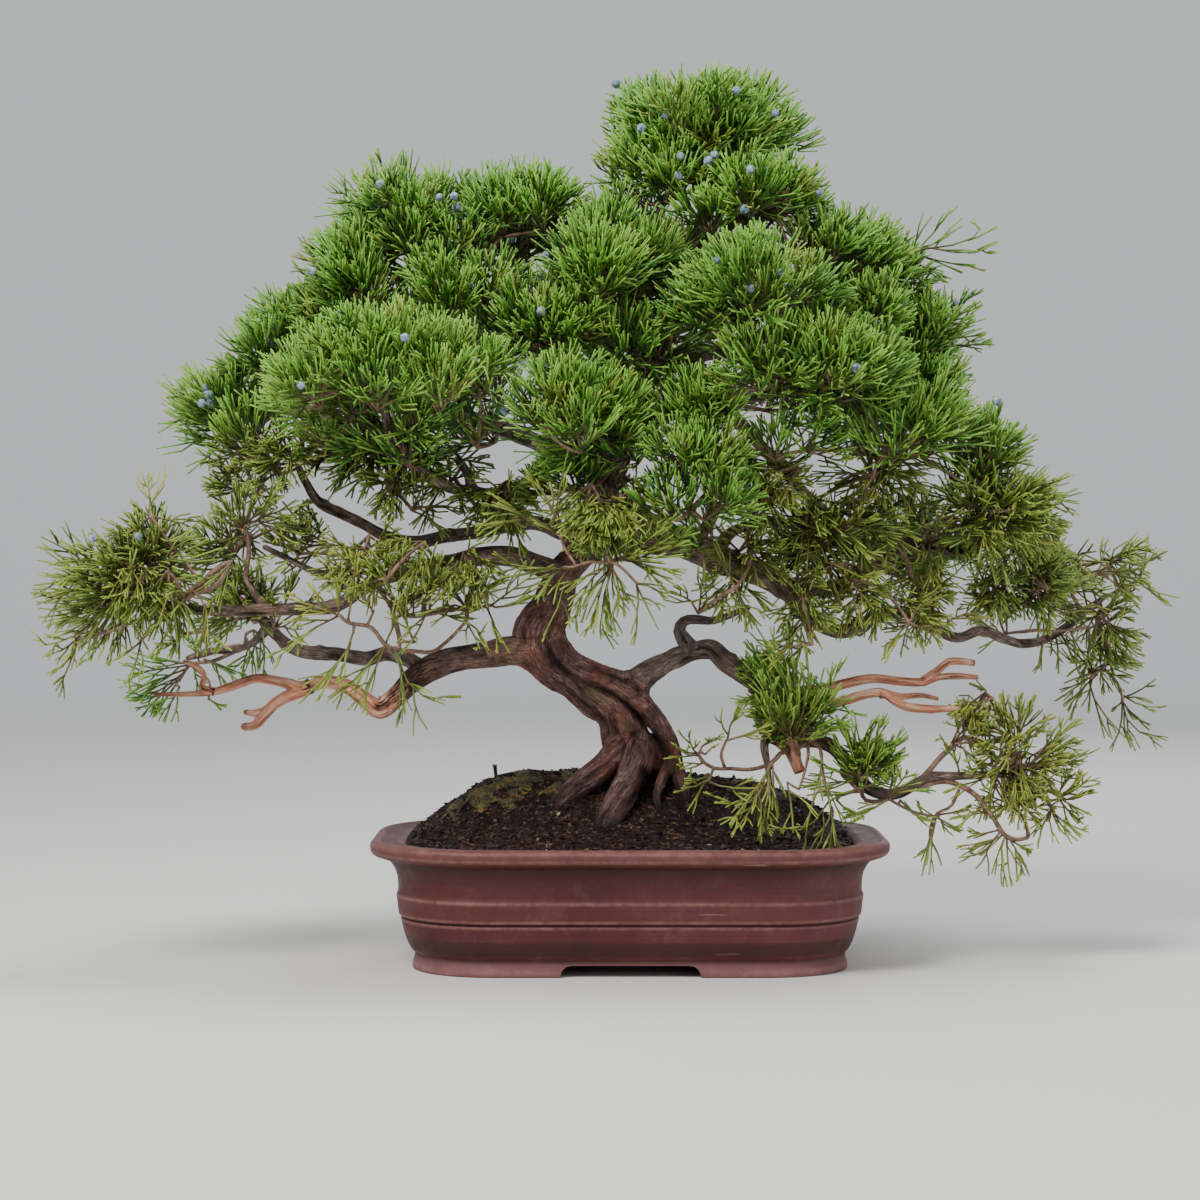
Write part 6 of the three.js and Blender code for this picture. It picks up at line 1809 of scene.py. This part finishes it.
def makeSoil():
    columns, rows = soilValues["columns"], soilValues["rows"]
    turns = np.arange(columns) / columns
    edgeX, edgeY = oblongPoints(turns, 183.0)
    verts = [groundPoints(np.zeros(1), np.zeros(1))]
    for r in range(1, rows + 1):
        share = (r / rows) ** 0.85
        verts.append(groundPoints(edgeX * share, edgeY * share))
    for half, z in ((182.6, 97.5), (179.6, 94), (176.2, 42), (168.2, 25), (154, 17.6)):
        x, y = oblongPoints(turns, half)
        verts.append(np.stack([x * mm, y * mm, np.full(columns, z * mm)], axis=1))
    verts.append(np.array([[0, 0, 17.6 * mm]]))
    places = np.vstack(verts)
    loops, sizes = ([values] for values in flatFaces(domeFaces(rows + 5, columns)))
    points, tones = [places], [np.zeros((len(places), 4))]
    base = len(places)
    palette = np.array(soilValues["crumbColours"])
    for amount, slender in ((soilValues["crumbs"], False), (soilValues["shreds"], True)):
        x = rng.uniform(-181, 181, amount * 3)
        y = np.where(rng.random(amount * 3) < 0.72, rng.uniform(-117, 20, amount * 3), rng.uniform(20, 117, amount * 3))
        inside = np.hypot(np.maximum(np.abs(x) - 110, 0), np.maximum(np.abs(y) - 45, 0)) < 71.6
        x, y = x[inside][:amount], y[inside][:amount]
        ground = groundPoints(x, y)
        size = rng.gamma(3.0, 0.34, len(x)).clip(0.45, 2.6) * mm * (1.15 if slender else 1.0)
        ground[:, 2] += size * 0.2
        pick = rng.choice(len(palette), len(x), p=soilValues["shredOdds" if slender else "crumbOdds"])
        atFront = (y < -95) & (rng.random(len(x)) < np.where(x < -60, 0.30, 0.12))
        pick = np.where(atFront & ~np.full(len(x), slender), rng.choice([3, 4, 5], len(x), p=[0.5, 0.32, 0.18]), pick)
        colours = palette[pick] * rng.uniform(0.75, 1.25, (len(x), 1))
        more, moreLoops, moreSizes, moreTones = scatterStones(ground, size, colours, slender)
        points.append(more)
        loops.append(moreLoops + base)
        sizes.append(moreSizes)
        tones.append(moreTones)
        base += len(more)
    mesh = meshFrom("soil_grit", np.vstack(points), np.concatenate(loops), np.concatenate(sizes), smooth=False)
    setTone(mesh, np.vstack(tones))
    return pieceFrom("soil_grit", mesh, makeSoilFinish(), ["soil"])


makeSoil()
print("soil", triangleTally["soil_grit"])

mossValues = {
    # x, y, reach in x and y and thickness in millimetres, turn, shoots
    "moss_left": [-104, -6, 60, 24, 3.0, 0.15, 2300],
    "moss_behind_trunk": [-50, 46, 26, 22, 5, 0.0, 600],
    "moss_right": [98, -2, 22, 17, 3.5, 0.0, 520],
    "colours": [(0.022, 0.018, 0.008), (0.060, 0.052, 0.010), (0.170, 0.118, 0.014), (0.380, 0.220, 0.028)],
    "spike": (1.0 * mm, 2.6 * mm),
}


def makeMossFinish():
    finish, shader, place = freshFinish("goldenMoss")
    patches = ramp(noiseNode(place, 130.0, 5.0, 0.7), list(zip((0.33, 0.46, 0.56, 0.68), mossValues["colours"])))
    fine = noiseNode(place, 900.0, 3.0, 0.7)
    light = ramp(attributeOf(finish, "tone")["Alpha"], [(0.0, 0.45), (1.0, 1.5)])
    setInputs(shader, {"Base Color": shaded(patches, ramp(fine, [(0.3, 0.55), (0.7, 1.35)]), light),
                       "Roughness": 0.88, "Sheen Weight": 0.25, "Sheen Roughness": 0.5,
                       "Normal": bumpNode(fine, 0.9, 0.0012)})
    return finish


# One patch: a low ragged cushion that dips under the soil where it thins out, set with tiny upright shoots
def makeMoss(name, finish):
    x0, y0, reachX, reachY, thick, turn, shoots = mossValues[name]
    columns, rows = 60, 15

    def top(u, v):
        x = x0 + u * reachX * cos(turn) - v * reachY * sin(turn)
        y = y0 + u * reachX * sin(turn) + v * reachY * cos(turn)
        x, y = np.atleast_1d(x), np.atleast_1d(y)
        ground = groundPoints(x, y)
        reach = np.atleast_1d(u * u + v * v)
        lift = noiseAt(ground, 85.0) * 7.5 + 1.3 - 3.6 * reach ** 1.5
        lift = np.clip(lift, -2.5, thick * 0.7) + noiseAt(ground, 380.0) * 0.9
        ground[:, 2] += lift * mm
        return ground, lift

    centre, _ = top(0.0, 0.0)
    verts = [centre]
    for r in range(1, rows + 1):
        a = np.arange(columns) / columns * tau
        ring, _ = top(np.cos(a) * r / rows, np.sin(a) * r / rows)
        verts.append(ring)
    low = verts[-1].copy()
    low[:, 2] -= 2.5 * mm
    verts.append(low)
    floor = centre.copy()
    floor[:, 2] -= 5 * mm
    verts.append(floor)
    places = np.vstack(verts)
    cushionLoops, cushionSizes = flatFaces(domeFaces(rows + 1, columns))
    u = rng.normal(0, 0.46, shoots * 2)
    v = rng.normal(0, 0.46, shoots * 2)
    near = u * u + v * v < 1.15
    u, v = u[near][:shoots], v[near][:shoots]
    feet, lift = top(u, v)
    keep = lift > -0.4
    feet = feet[keep]
    count = len(feet)
    heights = rng.uniform(*mossValues["spike"], count)
    wide = heights * rng.uniform(0.20, 0.34, count)
    a = rng.uniform(0, tau, count)[:, None] + np.arange(3)[None] * tau / 3
    ring = feet[:, None] + np.stack([np.cos(a), np.sin(a), 0 * a], axis=-1) * wide[:, None, None]
    ring[:, :, 2] -= 0.4 * mm
    lean = np.stack([rng.normal(0, 0.45, count), rng.normal(0, 0.45, count), np.ones(count)], axis=1)
    tip = feet + lean * heights[:, None]
    spikes = np.concatenate([ring, tip[:, None]], axis=1).reshape(-1, 3)
    base = len(places)
    pattern = np.array([0, 1, 3, 1, 2, 3, 2, 0, 3, 2, 1, 0])
    loops = np.concatenate([cushionLoops, (base + np.arange(count)[:, None] * 4 + pattern[None]).ravel()])
    sizes = np.concatenate([cushionSizes, np.full(count * 4, 3)])
    mesh = meshFrom(name + "_tufts", np.vstack([places, spikes]), loops, sizes)
    light = np.concatenate([np.full(base, 0.30), np.tile([0.30, 0.30, 0.30, 1.0], count)])
    setTone(mesh, np.stack([light, light, light, light], axis=1))
    return pieceFrom(name + "_tufts", mesh, finish, [name])


mossFinish = makeMossFinish()
for name in ("moss_left", "moss_behind_trunk", "moss_right"):
    makeMoss(name, mossFinish)
print("moss", sum(n for name, n in triangleTally.items() if name.startswith("moss")))

wireValues = {
    "radius": 1.1 * mm,
    "strand": 0.85 * mm,
    "twistRise": 11.0 * mm,
    "twistTurns": 3.0,
    "colours": [(0.35, (0.016, 0.012, 0.012)), (0.62, (0.052, 0.040, 0.036)), (0.78, (0.150, 0.120, 0.100))],
}


# A plain worn finish: scale, detail and roughness of the wear, then its colours, metal, gloss and bump
def makeWornFinish(name, scale, detail, colours, metallic, roughness, strength, distance):
    finish, shader, place = freshFinish(name)
    wear = noiseNode(place, scale, *detail)
    setInputs(shader, {"Base Color": ramp(wear, colours), "Metallic": metallic, "Roughness": ramp(wear, roughness),
                       "Normal": bumpNode(wear, strength, distance)})
    return finish


# A point of the wire's route that lies on the mound
def onMound(x, y, lift=1.4):
    return (x, y, float(moundHeight(np.array([float(x)]), np.array([float(y)]))[0]) + lift)


def makeWire():
    under = 8.6
    route = [onMound(-110.5, 13.5, 2.0), onMound(-109, 12.5), onMound(-114, 8), onMound(-122, 0), onMound(-132, -8),
             onMound(-142, -16, 0), (-140, -20, 108), (-112, -10, 70), (-84, 2, 42), (-80, 2, 26), (-80, 2, 12),
             (-72, 2, under), (-40, 2, under), (0, 2, under), (40, 2, under), (72, 2, under), (80, 2, 12), (80, 2, 26),
             (74, 30, 55), (50, 72, 84), (5, 90, 100), (-34, 88, 112), (-60, 72, 128), onMound(-66, 50, 0),
             onMound(-72, 36), onMound(-82, 26), onMound(-96, 18), onMound(-106, 15), onMound(-111.5, 14.5, 2.0)]
    route = np.array(route) * mm
    tubes = [runThrough(route, np.full(len(route), wireValues["radius"]), 4 * mm)[:2]]
    foot = np.array(onMound(-111, 14, 0.5)) * mm
    turns = np.linspace(0, 1, 22)
    for phase in (0.0, pi):
        angle = phase + turns * wireValues["twistTurns"] * tau
        spread = wireValues["strand"] * (1.0 + 0.5 * turns ** 4)
        line = foot + np.stack([np.cos(angle) * spread - turns * 1.2 * mm, np.sin(angle) * spread,
                                turns * wireValues["twistRise"]], axis=1)
        tubes.append((line, np.full(len(turns), wireValues["strand"])))
    verts, faces = [], []
    for centres, radii in tubes:
        addRings(verts, faces, centres, radii, 10)
    mesh = meshFrom("anchor_wire_twist", verts, *flatFaces(faces))
    finish = makeWornFinish("darkAnodisedWire", 260.0, (4.0, 0.65), wireValues["colours"], 0.55,
                            [(0.3, 0.38), (0.7, 0.60)], 0.25, 0.0003)
    return pieceFrom("anchor_wire_twist", mesh, finish, ["anchor_wire"])


makeWire()


# The screens and clips keep their shape and get a finish: dark soft plastic, and dull galvanised wire
screenFinish = makeWornFinish("screenPlastic", 300.0, (4.0, 0.6), [(0.4, (0.012, 0.012, 0.011)),
                                                                   (0.72, (0.060, 0.045, 0.032))],
                              0.0, [(0.3, 0.42), (0.7, 0.75)], 0.3, 0.0003)
clipFinish = makeWornFinish("clipSteel", 500.0, (3.0, 0.6), [(0.35, (0.25, 0.25, 0.24)), (0.65, (0.46, 0.45, 0.43))],
                            0.9, [(0.3, 0.35), (0.7, 0.6)], 0.2, 0.0002)
for side in ("left", "right"):
    for node, finish in (("drain_screen_" + side, screenFinish), ("screen_clip_" + side, clipFinish)):
        kept = bpy.data.objects[node]
        kept.data.materials.clear()
        kept.data.materials.append(finish)
print("wire, screens and clips")

berryValues = {
    "radius": (3.3 * mm, 4.1 * mm),
    "skin": [(0.050, 0.075, 0.120), (0.200, 0.265, 0.360), (0.420, 0.490, 0.580)],
    "tip": (0.055, 0.030, 0.022),
    # where each shows in the front view: x, z
    "places": [(-445, 345), (-407, 347), (-351, 470), (-349, 464), (-354, 457), (-346, 457), (-298, 507), (-272, 472),
               (-186, 511), (-206, 638), (-157, 627), (-145, 628), (-143, 619), (-98, 592), (-69, 579), (-73, 533),
               (-262, 566), (10, 684), (30, 695), (42, 661), (40, 645), (65, 657), (70, 662), (100, 650), (111, 650),
               (120, 696), (88, 715), (157, 631), (100, 552), (72, 575), (125, 565), (95, 617), (188, 486)],
    "others": 26,  # round the sides and the back, where the tree bears them as well
}


# Blue-grey cones with a pale bloom, darker where the bloom is rubbed off and at the tip
def makeBerryFinish():
    finish, shader, place = freshFinish("bloomedCone")
    bloom = noiseNode(place, 330.0, 4.0, 0.62)
    colour = ramp(bloom, list(zip((0.34, 0.50, 0.70), berryValues["skin"])))
    setInputs(shader, {"Base Color": mixColour(attributeOf(finish, "tone")["Alpha"], colour, berryValues["tip"]),
                       "Roughness": ramp(bloom, [(0.3, 0.45), (0.7, 0.8)]),
                       "Normal": bumpNode(bloom, 0.15, 0.0004)})
    return finish


# Each cone sits at the frontmost twig near its place, or else at the nearest twig, half sunk among the cords
def makeBerries():
    twigPoints = np.vstack([pointsOf(piece.data) for piece in pads.values()])
    shown = shownAt(twigPoints)
    spots = []
    for x, z in berryValues["places"]:
        gaps = np.hypot(shown[:, 0] - x, shown[:, 1] - z)
        close = np.where(gaps < 4)[0]
        if len(close) == 0:
            close = np.argsort(gaps)[:6]
            x, z = shown[close[0]]
        front = close[np.argsort(twigPoints[close, 1])[min(5, len(close) - 1)]]
        spots.append(sight([x, z, twigPoints[front, 1] / mm + 1.0]))
    outer = [name for name, row in padPlan.items() if row[8] in ("dense", "back")]
    for _ in range(berryValues["others"]):
        name = outer[rng.integers(len(outer))]
        places = pointsOf(pads[name].data)
        ball = unit(np.array([rng.normal(0, 1), abs(rng.normal(0, 1)), abs(rng.normal(0, 0.6))]))
        aim = padCentres[name] + ball * padHalves[name] * 0.93
        spots.append(places[int(np.argmin(np.linalg.norm(places - aim, axis=1)))] - ball * 1.5 * mm)
    bpy.ops.object.select_all(action='DESELECT')
    bpy.ops.mesh.primitive_ico_sphere_add(subdivisions=2, radius=1.0)
    pattern = bpy.context.active_object
    shape = pointsOf(pattern.data)
    faces = np.array([list(p.vertices) for p in pattern.data.polygons])
    bpy.data.objects.remove(pattern)
    verts, loops, tones = [], [], []
    for index, spot in enumerate(spots):
        radius = rng.uniform(*berryValues["radius"])
        tip = unit(rng.normal(0, 1, 3) + np.array([0, -0.6, -0.2]))
        along = shape @ tip
        lumps = 1 + 0.05 * noiseAt(shape, 1.3, (index * 3.1, 0, 0)) + 0.06 * np.clip(along - 0.9, 0, 1) * 10
        verts.append(spot + shape * (radius * lumps)[:, None])
        loops.append(faces.ravel() + index * len(shape))
        tones.append(np.stack([along, along, along, np.clip((along - 0.93) * 14, 0, 0.85)], axis=1))
    mesh = meshFrom("juniper_cones", np.vstack(verts), np.concatenate(loops), np.full(len(spots) * len(faces), 3))
    setTone(mesh, np.vstack(tones))
    return pieceFrom("juniper_cones", mesh, makeBerryFinish())


makeBerries()
print("cones", triangleTally["juniper_cones"])

print("triangles in all", sum(triangleTally.values()), "largest", max(triangleTally.items(), key=lambda e: e[1]))
